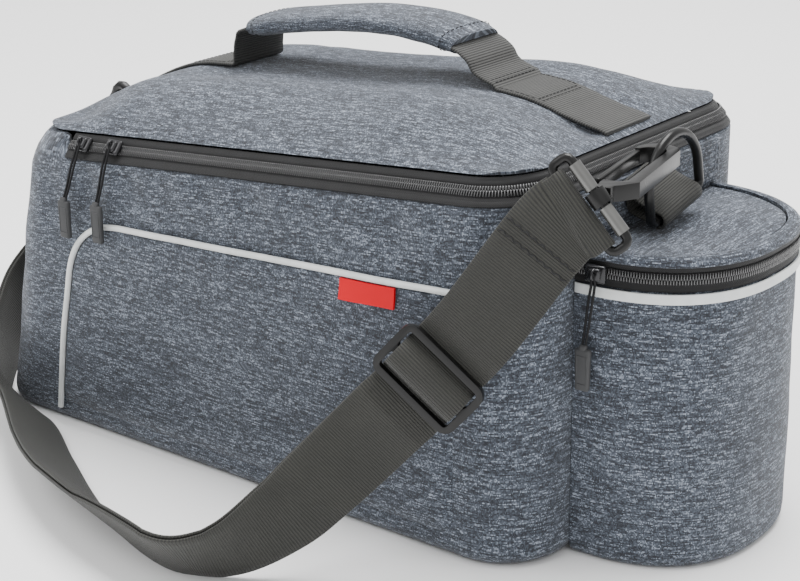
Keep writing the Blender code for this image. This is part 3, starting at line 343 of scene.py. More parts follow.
def tape_cloth():
    """Black zip tape with a fine herringbone."""
    s = Shader("zip_tape_cloth", rough=0.55, sheen=0.1)
    u, v = s.uv()
    bend = ((v / 0.0024).part() - 0.5).size() * 2
    line = ((u / 0.0009 + bend * 1.4).part() - 0.5).size() * 2
    tone = s.cloud(s.place(), 120.0, 3.0)
    blacks = [(0.1, (0.003, 0.003, 0.003)), (0.9, (0.014, 0.014, 0.015))]
    s.set("Base Color", s.ramp(line * 0.5 + tone * 0.6, blacks))
    s.set("Specular IOR Level", 0.2)
    s.relief(line, 0.00018, 0.7)
    return s.material


def reflective():
    """Off-white glass-bead trim."""
    s = Shader("reflective_trim", (0.66, 0.68, 0.68), 0.42)
    beads = s.cloud(s.place(), 2600.0, 1.0)
    soil = s.cloud(s.place(), 90.0, 3.0)
    s.set("Base Color", s.ramp(soil, [(0.2, (0.56, 0.58, 0.58)), (0.8, (0.74, 0.76, 0.75))]))
    s.relief(beads, 0.00008, 0.5)
    return s.material


def tag_cloth():
    """Red satin with its threads across."""
    s = Shader("red_satin", (0.62, 0.0, 0.01), 0.6)
    u, v = s.uv()
    thread = ((v / 0.00032).part() - 0.5).size() * 2
    cross = ((u / 0.00055).part() - 0.5).size() * 2
    reds = [(0.0, (0.80, 0.0, 0.012)), (1.0, (0.55, 0.0, 0.008))]
    s.set("Base Color", s.ramp(thread * 0.6 + cross * 0.4, reds))
    s.set("Specular IOR Level", 0.2)
    s.relief(1 - thread, 0.00012, 0.7)
    return s.material


CLOTH = melange()
# The second colour given to each webbing is its painted rib highlight.
WEB = woven("strap_webbing", (0.008, 0.008, 0.006), (0.034, 0.034, 0.026))
HANDLE_WEB = woven("handle_webbing_cloth", (0.016, 0.016, 0.015), (0.062, 0.062, 0.056), 0.00135, 0.00110)
TAPE = tape_cloth()
COIL = plastic("zip_coil", (0.020, 0.020, 0.021), 0.20, shine=0.9)
TRIM = reflective()
RED = tag_cloth()
RUBBER = plastic("pull_rubber_moulded", (0.045, 0.046, 0.048), 0.62, 1500.0, 0.00006)
CORD_BLACK = plastic("pull_cord_braid", (0.012, 0.012, 0.013), 0.6, 2500.0, 0.0001, shine=0.15)
HARD = plastic("black_plastic", (0.006, 0.006, 0.006), 0.30)
GUN = plastic("slider_metal", (0.028, 0.028, 0.030), 0.22, 700.0, 0.00002, 0.6, 0.2)
SATIN = plastic("swivel_bar_metal", (0.16, 0.16, 0.155), 0.34, 700.0, 0.00002, 0.8)
THREAD_LIGHT = plastic("grey_thread", (0.16, 0.17, 0.19), 0.75)
THREAD_DARK = plastic("black_thread", (0.012, 0.012, 0.013), 0.6)


# Mesh helpers
def finish_piece(made, nodes=(), body=BODY):
    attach(made, body)
    if nodes:
        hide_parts(*nodes)
    return made


def mesh_object(name, points, faces, uvs, finish, sharp=50):
    """A mesh object; uvs holds a pair for each corner of each face."""
    mesh = bpy.data.meshes.new(name)
    mesh.from_pydata([tuple(p) for p in points], [], faces)
    layer = mesh.uv_layers.new(name="UVMap")
    flat = [c for face in uvs for pair in face for c in pair]
    layer.data.foreach_set("uv", flat)
    mesh.materials.append(finish)
    made = bpy.data.objects.new(name, mesh)
    bpy.context.scene.collection.objects.link(made)
    work = bmesh.new()
    work.from_mesh(mesh)
    bmesh.ops.recalc_face_normals(work, faces=work.faces)
    if work.calc_volume(signed=True) < 0:
        bmesh.ops.reverse_faces(work, faces=work.faces)
    work.to_mesh(mesh)
    work.free()
    mesh.shade_smooth()
    mesh.set_sharp_from_angle(angle=math.radians(sharp))
    return made


def loft(name, rings, uv, finish, closed=False, sharp=50):
    """Joins rings of points; uv(r, i) gives a pair, also for i past the last column."""
    count = len(rings[0])
    points = [p for ring in rings for p in ring]
    faces, uvs = [], []
    rows = len(rings) if closed else len(rings) - 1
    for r in range(rows):
        a, b = r * count, (r + 1) % len(rings) * count
        for i in range(count):
            j = (i + 1) % count
            faces.append((a + i, a + j, b + j, b + i))
            uvs.append((uv(r, i), uv(r, i + 1), uv(r + 1, i + 1), uv(r + 1, i)))
    if not closed:
        for r, start in ((0, 0), (len(rings) - 1, (len(rings) - 1) * count)):
            faces.append(tuple(range(start, start + count)))
            uvs.append(tuple((p.x + p.z, p.y) for p in rings[r]))
    return mesh_object(name, points, faces, uvs, finish, sharp)


def ruled(along, across):
    """Texture places for a strip: how far along it and how far across."""
    return lambda r, i: (along[min(r, len(along) - 1)], across[i])


def lengths(points, closed=False):
    """Distance along a line of points, at each of them."""
    out = [0.0]
    for a, b in zip(points, points[1:]):
        out.append(out[-1] + (b - a).length)
    if closed:
        out.append(out[-1] + (points[0] - points[-1]).length)
    return out


def tangents(points, closed=False):
    if closed:
        ahead, behind = points[1:] + points[:1], points[-1:] + points[:-1]
    else:
        ahead, behind = points[1:] + points[-1:], points[:1] + points[:-1]
    return [(b - a).normalized() for a, b in zip(behind, ahead)]


def curve_through(points, step):
    """Points about one step apart on a Catmull-Rom curve."""
    rows = [Vector(p) for p in points]
    rows = [rows[0] * 2 - rows[1]] + rows + [rows[-1] * 2 - rows[-2]]
    out = []
    for a, b, c, d in zip(rows, rows[1:], rows[2:], rows[3:]):
        count = max(1, round((Vector(c[:3]) - Vector(b[:3])).length / step))
        for k in range(count):
            t = k / count
            out.append(0.5 * (b * 2 + (c - a) * t + (a * 2 - b * 5 + c * 4 - d) * t * t
                              + (b * 3 - a - c * 3 + d) * t ** 3))
    out.append(rows[-2].copy())
    return out


def circle(radius, sides):
    step = 2 * math.pi / sides
    return [(radius * math.cos(k * step), radius * math.sin(k * step)) for k in range(sides)]


def place(section, centre, first, second):
    return [centre + first * a + second * b for a, b in section]


def tape_section(width, thick, across=9):
    """Flat webbing with softly rounded selvedges; its points run along both faces."""
    w, t = width / 2, thick / 2
    xs = [-w + t * 0.6 + (2 * w - t * 1.2) * k / (across - 1) for k in range(across)]
    right, left = [(w, -t * 0.4), (w, t * 0.4)], [(-w, t * 0.4), (-w, -t * 0.4)]
    return [(x, -t) for x in xs] + right + [(x, t) for x in reversed(xs)] + left


def webbing(name, line, width, thick, finish):
    """Sweeps webbing along entries of centre, edge direction and face normal."""
    section = tape_section(width, thick)
    across = [a for a, b in section] + [section[0][0]]
    along = lengths([p for p, e, n in line])
    rings = [place(section, p, e, n) for p, e, n in line]
    return loft(name, rings, ruled(along, across), finish, sharp=60)


def tube(name, path, radius, sides, finish, across, closed=False):
    rings = []
    for p, run in zip(path, tangents(path, closed)):
        first = (across - run * across.dot(run)).normalized()
        rings.append(place(circle(radius, sides), p, first, run.cross(first)))
    along = lengths(path, closed)
    girth = 2 * math.pi * radius / sides
    return loft(name, rings, lambda r, i: (along[r], i * girth), finish, closed=closed)


def join(name, pieces):
    """One object from several meshes."""
    bpy.ops.object.select_all(action="DESELECT")
    for piece in pieces:
        piece.select_set(True)
    bpy.context.view_layer.objects.active = pieces[0]
    bpy.ops.object.join()
    pieces[0].name = name
    pieces[0].data.name = name
    return pieces[0]


def settle(made):
    """Applies the modifiers to the mesh."""
    bpy.context.view_layer.update()
    graph = bpy.context.evaluated_depsgraph_get()
    mesh = bpy.data.meshes.new_from_object(made.evaluated_get(graph))
    made.modifiers.clear()
    made.data = mesh
    return made


def rounded_box(name, size, matrix, bevel, finish, taper=1.0, segments=3):
    """A box with rolled edges; taper narrows its lower end."""
    work = bmesh.new()
    bmesh.ops.create_cube(work, size=1.0)
    for v in work.verts:
        share = taper if v.co.z < 0 else 1.0
        v.co = Vector((v.co.x * size[0] * share, v.co.y * size[1], v.co.z * size[2]))
    bmesh.ops.bevel(work, geom=list(work.edges), offset=bevel, segments=segments, profile=0.5, affect="EDGES")
    work.transform(matrix)
    mesh = bpy.data.meshes.new(name)
    work.to_mesh(mesh)
    work.free()
    mesh.uv_layers.new(name="UVMap")
    mesh.materials.append(finish)
    mesh.shade_smooth()
    made = bpy.data.objects.new(name, mesh)
    bpy.context.scene.collection.objects.link(made)
    return made


def basis(x, y, z, at):
    turn = Matrix((x, y, z)).transposed().to_4x4()
    turn.translation = at
    return turn


def from_node(name, node, finish, bevel, segments=3, body=BODY):
    """A rounded copy of a hard CAD piece."""
    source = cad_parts[node]
    mesh = source.data.copy()
    made = bpy.data.objects.new(name, mesh)
    bpy.context.scene.collection.objects.link(made)
    made.matrix_world = source.matrix_world
    work = bmesh.new()
    work.from_mesh(mesh)
    bmesh.ops.remove_doubles(work, verts=work.verts, dist=0.00001)
    bmesh.ops.dissolve_limit(work, angle_limit=math.radians(1.5), verts=work.verts, edges=work.edges)
    work.to_mesh(mesh)
    work.free()
    mesh.materials.clear()
    mesh.materials.append(finish)
    edge = made.modifiers.new("edges", "BEVEL")
    edge.limit_method = "ANGLE"
    edge.angle_limit = math.radians(32)
    edge.width = bevel
    edge.segments = segments
    settle(made)
    made.data.shade_smooth()
    made.data.set_sharp_from_angle(angle=math.radians(45))
    return finish_piece(made, (node,), body)


# Repeats by geometry nodes
def repeat_group():
    """Puts a shape on each point, turned by the point's own angles."""
    group = bpy.data.node_groups.new("repeat_on_points", "GeometryNodeTree")
    for name, kind, way in (("Points", "NodeSocketGeometry", "INPUT"), ("Shape", "NodeSocketObject", "INPUT"),
                            ("Finish", "NodeSocketMaterial", "INPUT"), ("Size", "NodeSocketFloat", "INPUT"),
                            ("Pieces", "NodeSocketGeometry", "OUTPUT")):
        group.interface.new_socket(name=name, in_out=way, socket_type=kind)
    entry = group.nodes.new("NodeGroupInput")
    leave = group.nodes.new("NodeGroupOutput")
    info = group.nodes.new("GeometryNodeObjectInfo")
    turns = group.nodes.new("GeometryNodeInputNamedAttribute")
    turns.data_type = "FLOAT_VECTOR"
    turns.inputs["Name"].default_value = "turn"
    rotation = group.nodes.new("FunctionNodeEulerToRotation")
    put = group.nodes.new("GeometryNodeInstanceOnPoints")
    real = group.nodes.new("GeometryNodeRealizeInstances")
    paint = group.nodes.new("GeometryNodeSetMaterial")
    link = group.links.new
    link(entry.outputs["Shape"], info.inputs["Object"])
    link(entry.outputs["Points"], put.inputs["Points"])
    link(info.outputs["Geometry"], put.inputs["Instance"])
    link(turns.outputs["Attribute"], rotation.inputs[0])
    link(rotation.outputs[0], put.inputs["Rotation"])
    link(entry.outputs["Size"], put.inputs["Scale"])
    link(put.outputs[0], real.inputs[0])
    link(real.outputs[0], paint.inputs["Geometry"])
    link(entry.outputs["Finish"], paint.inputs["Material"])
    link(paint.outputs[0], leave.inputs["Pieces"])
    return group


REPEAT = repeat_group()


def bar_shape(name, length, width, height, sides=6):
    """A small rounded bar along its own X, resting on z = 0."""
    work = bmesh.new()
    rings = []
    for at, share in ((-0.5, 0.45), (-0.36, 1.0), (0.36, 1.0), (0.5, 0.45)):
        ring = []
        for y, z in circle(0.5, sides):
            ring.append(work.verts.new((at * length, y * width * share, z * height * share)))
        rings.append(ring)
    for a, b in zip(rings, rings[1:]):
        for i in range(sides):
            j = (i + 1) % sides
            work.faces.new((a[i], a[j], b[j], b[i]))
    work.faces.new(list(reversed(rings[0])))
    work.faces.new(rings[-1])
    mesh = bpy.data.meshes.new(name)
    work.to_mesh(mesh)
    work.free()
    mesh.shade_smooth()
    return bpy.data.objects.new(name, mesh)


def repeat(name, spots, shape, finish):
    """spots holds a place, a direction along and a direction out for each copy."""
    mesh = bpy.data.meshes.new(name)
    mesh.from_pydata([tuple(p) for p, a, o in spots], [], [])
    turn = mesh.attributes.new("turn", "FLOAT_VECTOR", "POINT")
    for k, (p, a, o) in enumerate(spots):
        a = a.normalized()
        o = (o - a * o.dot(a)).normalized()
        turn.data[k].vector = basis(a, o.cross(a), o, Vector()).to_euler()
    made = bpy.data.objects.new(name, mesh)
    bpy.context.scene.collection.objects.link(made)
    change = made.modifiers.new("repeat", "NODES")
    change.node_group = REPEAT
    values = {"Shape": shape, "Finish": finish, "Size": 1.0}
    for item in REPEAT.interface.items_tree:
        if item.in_out == "INPUT" and item.name in values:
            change[item.identifier] = values[item.name]
    settle(made)
    if not made.data.materials:
        made.data.materials.append(finish)
    finish_piece(made)


def spots_along(points, outs, pitch, start=0.0):
    """Evenly spaced places on a line of points, with the direction along and out."""
    at = lengths(points)
    runs = tangents(points)
    found, k, d = [], 0, start
    while d < at[-1]:
        while at[k + 1] < d:
            k += 1
        t = (d - at[k]) / max(at[k + 1] - at[k], 1e-9)
        out = outs[k].lerp(outs[k + 1], t).normalized()
        run = runs[k].lerp(runs[k + 1], t).normalized()
        found.append((points[k].lerp(points[k + 1], t), run, out))
        d += pitch
    return found


THREAD_SEAT = 0.0001
STITCH = bar_shape("stitch_shape", 0.0030, 0.00062, 0.00050)
SMALL_STITCH = bar_shape("small_stitch_shape", 0.0022, 0.00050, 0.00040)
TOOTH = bar_shape("tooth_shape", 0.0030, 0.00080, 0.00100)


# Forms shared with the solids
def smoothstep(low, high, value):
    t = min(max((value - low) / (high - low), 0.0), 1.0)
    return t * t * (3 - 2 * t)


def zip_level(x):
    return ZIP_HEIGHT - ZIP_FALL * (HALF_LENGTH - x)


def front_face(z):
    return -HALF_LENGTH + FRONT_LEAN * z


def level_of_front(offset):
    return (ZIP_HEIGHT - ZIP_FALL * BODY_LENGTH + offset) / (1 - ZIP_FALL * FRONT_LEAN)


TAPE_IN = ZIP_TAPE / 2 * math.sin(ZIP_TILT)
TAPE_UP = ZIP_TAPE / 2 * math.cos(ZIP_TILT)
RIM_DROP = TAPE_UP + TAPE_THICK / 2 * math.sin(ZIP_TILT) + GAP
RIM_INSET = max(ZIP_INSET - TAPE_IN - TAPE_THICK / 2 * math.cos(ZIP_TILT), 0.0002)
LID_INSET = ZIP_INSET + TAPE_IN - TAPE_THICK / 2 * math.cos(ZIP_TILT)
ZIP_ENDS_AT = -HALF_LENGTH + ZIP_END
LID_FRONT = front_face(level_of_front(RIM_DROP)) + LID_INSET
LID_REAR = HALF_LENGTH - LID_INSET
LID_SIDE = HALF_WIDTH - LID_INSET


def corner(cx, cy, radius, start, steps=12):
    turns = [math.radians(start + 90 * k / steps) for k in range(1, steps + 1)]
    return [(cx + radius * math.cos(t), cy + radius * math.sin(t)) for t in turns]


def rounded_outline(x0, x1, y1, r, long_steps, short_steps):
    """Rectangle with round corners, counter-clockwise from its near front corner."""
    left, right = x0 + r, x1 - r
    shares = [k / long_steps for k in range(long_steps + 1)]
    short = [-1 + 2 * k / short_steps for k in range(1, short_steps + 1)]
    out = [(left + (right - left) * s, -y1) for s in shares]
    out += corner(right, -y1 + r, r, -90)
    out += [(x1, (y1 - r) * s) for s in short]
    out += corner(right, y1 - r, r, 0)
    out += [(left + (right - left) * s, y1) for s in reversed(shares[:-1])]
    out += corner(left, y1 - r, r, 90)
    out += [(x0, -(y1 - r) * s) for s in short]
    out += corner(left, -y1 + r, r, 180)[:-1]
    return out


def plan(z_front, inset):
    """Body outline from above, at the height that gives its front edge."""
    x0, x1 = front_face(z_front) + inset, HALF_LENGTH - inset
    return rounded_outline(x0, x1, HALF_WIDTH - inset, max(CORNER_RADIUS - inset, 0.002), 56, 24)


def rim_ring(inset_zip, rise_zip, inset_front, rise_front):
    """A ring that follows the zip line, with its own offsets past the zip's ends."""
    ring = []
    zip_plan = plan(level_of_front(rise_zip), inset_zip)
    front_plan = plan(level_of_front(rise_front), inset_front)
    for (xa, ya), (xb, yb) in zip(zip_plan, front_plan):
        part = 1 - smoothstep(ZIP_ENDS_AT - SEAM_BLEND, ZIP_ENDS_AT - GAP, (xa + xb) / 2)
        x, y = xa + (xb - xa) * part, ya + (yb - ya) * part
        ring.append(Vector((x, y, zip_level(x) + rise_zip + (rise_front - rise_zip) * part)))
    return ring


def ease(distance, length):
    return math.sin(math.pi / 2 * min(max(distance / length, 0.0), 1.0))


def lid_base(x, y):
    """Height of the solid lid's outer surface."""
    rise = LID_DOME * ease(x - LID_FRONT, DOME_FRONT) * ease(LID_REAR - x, DOME_REAR)
    rise *= ease(LID_SIDE - abs(y), DOME_SIDE)
    return zip_level(x) + RIM_DROP + PADDED_CLOTH / 2 + rise


RIPPLES = (
    # waves in a metre, height and shift of the noise
    (11, 0.0016, (0, 0, 0)),
    (27, 0.0008, (3, 1, 7)),
    (60, 0.0003, (9, 4, 2)),
)


def ripple(x, y, z, scale=1.0):
    """Soft unevenness of padded cloth, in metres."""
    p = Vector((x, y, z))
    return sum(noise.noise(p * rate + Vector(shift)) * depth for rate, depth, shift in RIPPLES) * scale


def bump_at(x, z, cx, cz, rx, rz):
    """1 at a place and 0 beyond its radii, smoothly."""
    d = ((x - cx) / rx) ** 2 + ((z - cz) / rz) ** 2
    return max(0.0, 1 - d) ** 2


SIDE_DENTS = [
    # place along, height, two radii and depth
    (-0.090, 0.140, 0.010, 0.022, -0.0022), (-0.072, 0.138, 0.009, 0.026, 0.0016),
    (-0.118, 0.128, 0.014, 0.040, -0.0016), (-0.145, 0.110, 0.012, 0.050, 0.0012),
    (0.020, 0.150, 0.040, 0.010, -0.0012), (0.090, 0.070, 0.060, 0.050, 0.0010),
    (-0.040, 0.050, 0.060, 0.035, -0.0012), (-0.055, 0.150, 0.010, 0.020, -0.0018),
    (-0.020, 0.152, 0.014, 0.016, 0.0012), (0.045, 0.158, 0.018, 0.014, 0.0012),
    (0.105, 0.150, 0.020, 0.020, -0.0014), (-0.150, 0.060, 0.008, 0.050, -0.0012),
]
MOST_PROUD = 0.002
FOOT_FADE = 0.02
GATHER_DEPTH = 0.0007
GATHER_HEIGHT = 0.022


def dents(table, a, b):
    return sum(amount * bump_at(a, b, ca, cb, ra, rb) for ca, cb, ra, rb, amount in table)


def side_relief(x, z):
    """How far the side stands proud or is drawn in, with small gathers under the zip."""
    top = zip_level(x) - RIM_DROP
    gather = GATHER_DEPTH * math.sin(x * 210 + z * 40) * smoothstep(top - GATHER_HEIGHT, top - 0.004, z)
    depth = min(ripple(x, -HALF_WIDTH, z, 0.9) + dents(SIDE_DENTS, x, z) + gather, MOST_PROUD)
    return depth * smoothstep(0.0, FOOT_FADE, z) * smoothstep(top + 0.001, top - 0.006, z)


def fade_to_rear(x):
    """1 along the side and 0 where its rear corner turns."""
    return smoothstep(HALF_LENGTH - 0.02, HALF_LENGTH - 0.05, x)


WALL_STEPS = 26


def body_cloth():
    """Padded body with soft dents, the rim under the zip and the plain inside."""
    rings = []
    for k in range(5):
        turn = math.radians(22.5 * k)
        z = BASE_ROUND * (1 - math.cos(turn))
        rings.append([Vector((x, y, z)) for x, y in plan(z, BASE_ROUND * (1 - math.sin(turn)))])
    top = rim_ring(0.0, -2 * RIM_DROP, 0.0, -2 * RIM_DROP)
    base = rings[-1]
    for k in range(1, WALL_STEPS + 1):
        rings.append([a.lerp(b, k / WALL_STEPS) for a, b in zip(base, top)])
    # inset and rise along the zip, then past its ends
    cuts = [((0.0, -1.5 * RIM_DROP), (0.0008, -1.1 * RIM_DROP)),
            ((0.0, -1.15 * RIM_DROP), (0.0022, -0.4 * RIM_DROP)),
            ((RIM_INSET + 0.0004, -RIM_DROP), (0.0050, 0.35 * RIM_DROP)),
            ((RIM_INSET + 0.0016, -RIM_DROP + 0.0004), (LID_INSET - 0.0012, RIM_DROP - 0.0012)),
            ((RIM_INSET + 0.0030, -RIM_DROP - 0.0002), (LID_INSET + 0.0020, RIM_DROP - 0.0010)),
            ((0.0032, -RIM_DROP - BASE_ROUND), (RIM_INSET + PADDED_CLOTH + 0.002, -TAPE_UP)),
            ((PADDED_CLOTH, -3 * RIM_DROP), (PADDED_CLOTH, -3 * RIM_DROP))]
    for (a, b), (c, d) in cuts:
        rings.append(rim_ring(a, b, c, d))
    outer_count = len(rings) - 3
    for k in range(3):
        turn = math.radians(45 * k)
        reach = BASE_ROUND - PADDED_CLOTH
        z = PADDED_CLOTH + reach * (1 - math.sin(turn))
        rings.append([Vector((x, y, z)) for x, y in plan(z, PADDED_CLOTH + reach * (1 - math.cos(turn)))])
    around = lengths(rings[6], True)
    up = [0.0]
    for a, b in zip(rings, rings[1:]):
        up.append(up[-1] + (b[30] - a[30]).length)
    for r in range(outer_count):
        for p in rings[r]:
            out = Vector((0, math.copysign(1, p.y), 0))
            if abs(p.y) > HALF_WIDTH - CORNER_RADIUS * 0.6:
                share = smoothstep(HALF_WIDTH - CORNER_RADIUS * 0.6, HALF_WIDTH - 0.002, abs(p.y))
                p += out * side_relief(p.x, p.z) * share * fade_to_rear(p.x)
            if p.x < front_face(p.z) + CORNER_RADIUS:
                share = smoothstep(front_face(p.z) + CORNER_RADIUS, front_face(p.z), p.x)
                p.x -= ripple(p.x, p.y, p.z, 0.8) * share * smoothstep(0, 0.03, p.z)
    made = loft("body_cloth", rings, lambda r, i: (around[i], up[r]), CLOTH, sharp=80)
    finish_piece(made, ("main_shell",))


LID_DENTS = [
    # place along and across, two radii and depth
    (0.158, -0.020, 0.020, 0.012, -0.0022), (0.156, 0.021, 0.020, 0.012, -0.0022),
    (0.140, 0.0, 0.030, 0.030, -0.0010), (-0.040, -0.060, 0.050, 0.024, 0.0012),
    (-0.112, -0.072, 0.020, 0.018, -0.0025), (-0.085, -0.080, 0.014, 0.016, 0.0016),
    (-0.060, -0.030, 0.030, 0.020, -0.0014), (0.060, -0.055, 0.060, 0.018, -0.0010),
    (0.100, 0.050, 0.050, 0.020, 0.0010), (0.0, 0.055, 0.070, 0.020, -0.0012),
]


def lid_height(x, y):
    """Height of the dressed lid: the dome with its dents and ripples."""
    edge = min(LID_SIDE - abs(y), x - LID_FRONT, LID_REAR - x)
    depth = ripple(x, y, 0.5, 1.3) + dents(LID_DENTS, x, y)
    return lid_base(x, y) + depth * smoothstep(0.0, 0.012, edge) - 0.0010 * smoothstep(0.0035, 0.0, edge)


def lid_plan(extra):
    """Outline of the lid from above, extra inside its edge."""
    r = max(CORNER_RADIUS - LID_INSET - extra * 0.6, 0.004)
    return rounded_outline(LID_FRONT + extra, LID_REAR - extra, LID_SIDE - extra, r, 60, 32)


LID_STEPS = (0.0, 0.0012, 0.0028, 0.005, 0.008, 0.011, 0.014, 0.018, 0.022, 0.026, 0.030, 0.035,
             0.040, 0.045, 0.050, 0.055, 0.060, 0.065, 0.070, 0.075, 0.080, 0.084)
INSIDE_STEPS = (0.005, 0.011, 0.022, 0.035, 0.050, 0.070, 0.084)


def lid_cloth():
    """Padded lid: its dented dome, turned edge and plain inside."""
    outer = [[Vector((x, y, lid_height(x, y))) for x, y in lid_plan(e)] for e in LID_STEPS]
    foot = [Vector((x, y, zip_level(x) + RIM_DROP + 0.0003)) for x, y in lid_plan(0.0004)]
    turned = [Vector((x, y, zip_level(x) + RIM_DROP + 0.0002)) for x, y in lid_plan(PADDED_CLOTH)]
    inner = [[Vector((x, y, lid_base(x, y) - PADDED_CLOTH)) for x, y in lid_plan(max(e, PADDED_CLOTH))]
             for e in INSIDE_STEPS]
    rings = list(reversed(outer)) + [foot, turned] + inner
    made = loft("lid_cloth", rings, lambda r, i: uv_flat(rings, r, i), CLOTH, sharp=75)
    finish_piece(made, ("lid",))


def uv_flat(rings, r, i):
    p = rings[r % len(rings)][i % len(rings[0])]
    return (p.x, p.y + p.z * 0.3)


def zip_path():
    """Middle of the main zip, from the near side round the rear to the far side."""
    y = HALF_WIDTH - ZIP_INSET
    keep = [p for p in plan(level_of_front(0), ZIP_INSET) if p[0] > ZIP_ENDS_AT + 0.002]
    start = next(i for i, p in enumerate(keep) if p[1] < -y + 0.0001)
    keep = keep[start:] + keep[:start]
    line = [(ZIP_ENDS_AT + GAP, -y)] + keep + [(ZIP_ENDS_AT + GAP, y)]
    return [Vector((a, b, zip_level(a))) for a, b in line]


def flat_outs(path):
    """Level directions out of a path that turns left."""
    return [Vector((run.y, -run.x, 0)).normalized() for run in tangents(path)]


def zip_strip():
    """Zip tape with a groove along each side of the coil, and its interlocked teeth."""
    half, thick, coil = ZIP_TAPE / 2, TAPE_THICK / 2, COIL_WIDTH / 2
    section = [(-half, -thick), (-half, thick * 0.7), (-half * 0.75, thick), (-coil * 1.25, thick * 0.9),
               (-coil, thick * 0.4), (-coil * 0.8, thick * 0.9), (0.0, thick), (coil * 0.8, thick * 0.9),
               (coil, thick * 0.4), (coil * 1.25, thick * 0.9), (half * 0.75, thick), (half, thick * 0.7),
               (half, -thick)]
    path = zip_path()
    rings, faces_out = [], []
    for p, out in zip(path, flat_outs(path)):
        up = Vector((0, 0, math.cos(ZIP_TILT))) - out * math.sin(ZIP_TILT)
        face = out * math.cos(ZIP_TILT) + Vector((0, 0, math.sin(ZIP_TILT)))
        rings.append(place(section, p, up, face))
        faces_out.append(face)
    along = lengths(path)
    across = [a for a, b in section] + [section[0][0]]
    made = loft("zip_tape", rings, ruled(along, across), TAPE, sharp=60)
    finish_piece(made, ("main_zipper",))
    teeth(path, faces_out, thick, "main_zip_teeth")


TOOTH_PITCH = 0.00125
TOOTH_ASIDE = 0.00105
TOOTH_RISE = 0.00035


def teeth(path, faces, thick, name):
    """Two rows of short bars that mesh along the middle of the tape."""
    spots = []
    for row, side in ((0, -1), (1, 1)):
        for p, run, out in spots_along(path, faces, TOOTH_PITCH, TOOTH_PITCH * (0.25 + 0.5 * row)):
            cross = out.cross(run).normalized()
            spots.append((p + cross * side * TOOTH_ASIDE + out * (thick + TOOTH_RISE), cross, out))
    repeat(name, spots, TOOTH, COIL)


def side_pocket_line(bend_steps=16):
    """The side pocket's seam: foot, rounded top corner and rear end, along and up."""
    foot = Vector((-HALF_LENGTH + POCKET_FRONT, POCKET_FOOT))
    rear = Vector((HALF_LENGTH - POCKET_REAR, POCKET_TOP_REAR))
    up = Vector((POCKET_LEAN, 1)).normalized()
    back = Vector((-1, -POCKET_TOP_FALL)).normalized()
    cross = up.x * back.y - up.y * back.x
    gap = rear - foot
    meet = foot + up * ((gap.x * back.y - gap.y * back.x) / cross)
    bend = []
    start, end = meet - up * POCKET_BEND, meet - back * POCKET_BEND
    for k in range(bend_steps + 1):
        t = k / bend_steps
        bend.append(start * (1 - t) ** 2 + meet * 2 * t * (1 - t) + end * t * t)
    return [foot] + bend + [rear]


def fill_line(points, step):
    """The same broken line with points added on its long stretches."""
    out = []
    for a, b in zip(points, points[1:]):
        count = max(1, round((b - a).length / step))
        out += [a.lerp(b, k / count) for k in range(count)]
    return out + [points[-1]]


PANEL_SHARES = (0.994, 0.985, 0.965, 0.93, 0.88, 0.8, 0.7, 0.6, 0.5, 0.4, 0.3, 0.2, 0.1, 0.03)
SUNK = 0.001


def side_pocket(side, name):
    """Flat pocket panel that follows the side's relief, and its piping."""
    corners = side_pocket_line()
    corners.append(corners[-1] + (corners[-1] - corners[-2]).normalized() * POCKET_RUN_ON)
    rear = corners[-1].x
    line = fill_line(corners, 0.006)
    shift = PIPING / 2 + GAP
    edge = []
    for p, run in zip(line, tangents([q.to_3d() for q in line])):
        edge.append(p + Vector((run.y, -run.x)) * shift)
    edge[0].y = POCKET_FOOT
    edge[-1].x = rear
    low = fill_line([edge[-1], Vector((rear, POCKET_FOOT)), edge[0]], 0.006)
    outline = edge + low[1:-1]
    middle = sum(outline, Vector((0, 0))) / len(outline)
    depth = SIDE_PANEL + GAP

    def at(p, away, sink=True):
        """A place on the side; the panel's foot and rear edge run into the body's cloth."""
        relief = side_relief(p.x, p.y) * fade_to_rear(p.x)
        if sink:
            proud = smoothstep(rear, rear - 0.012, p.x) * smoothstep(POCKET_FOOT, POCKET_FOOT + 0.010, p.y)
            away = (away + SUNK) * proud - SUNK
        return Vector((p.x, side * (HALF_WIDTH + away + relief), p.y))

    rings = [[at(p, GAP) for p in outline]]
    rings.append([at(p, depth * 0.75) for p in outline])
    for share in PANEL_SHARES:
        swell = 0.0006 * smoothstep(0.994, 0.9, share)
        rings.append([at(middle + (p - middle) * share, depth + swell) for p in outline])
    made = loft(f"{name}_pocket_cloth", rings, lambda r, i: uv_side(rings, r, i), CLOTH, sharp=70)
    finish_piece(made, (f"{name}_pocket_panel",))
    path = [at(p, GAP + PIPING / 2, False) for p in fill_line(corners, 0.004)]
    cord = tube(f"{name}_piping_cord", path, PIPING / 2, 12, TRIM, Vector((0, 1, 0)))
    finish_piece(cord, (f"{name}_piping",))


def uv_side(rings, r, i):
    p = rings[r % len(rings)][i % len(rings[0])]
    return (p.x + 0.37, p.z)


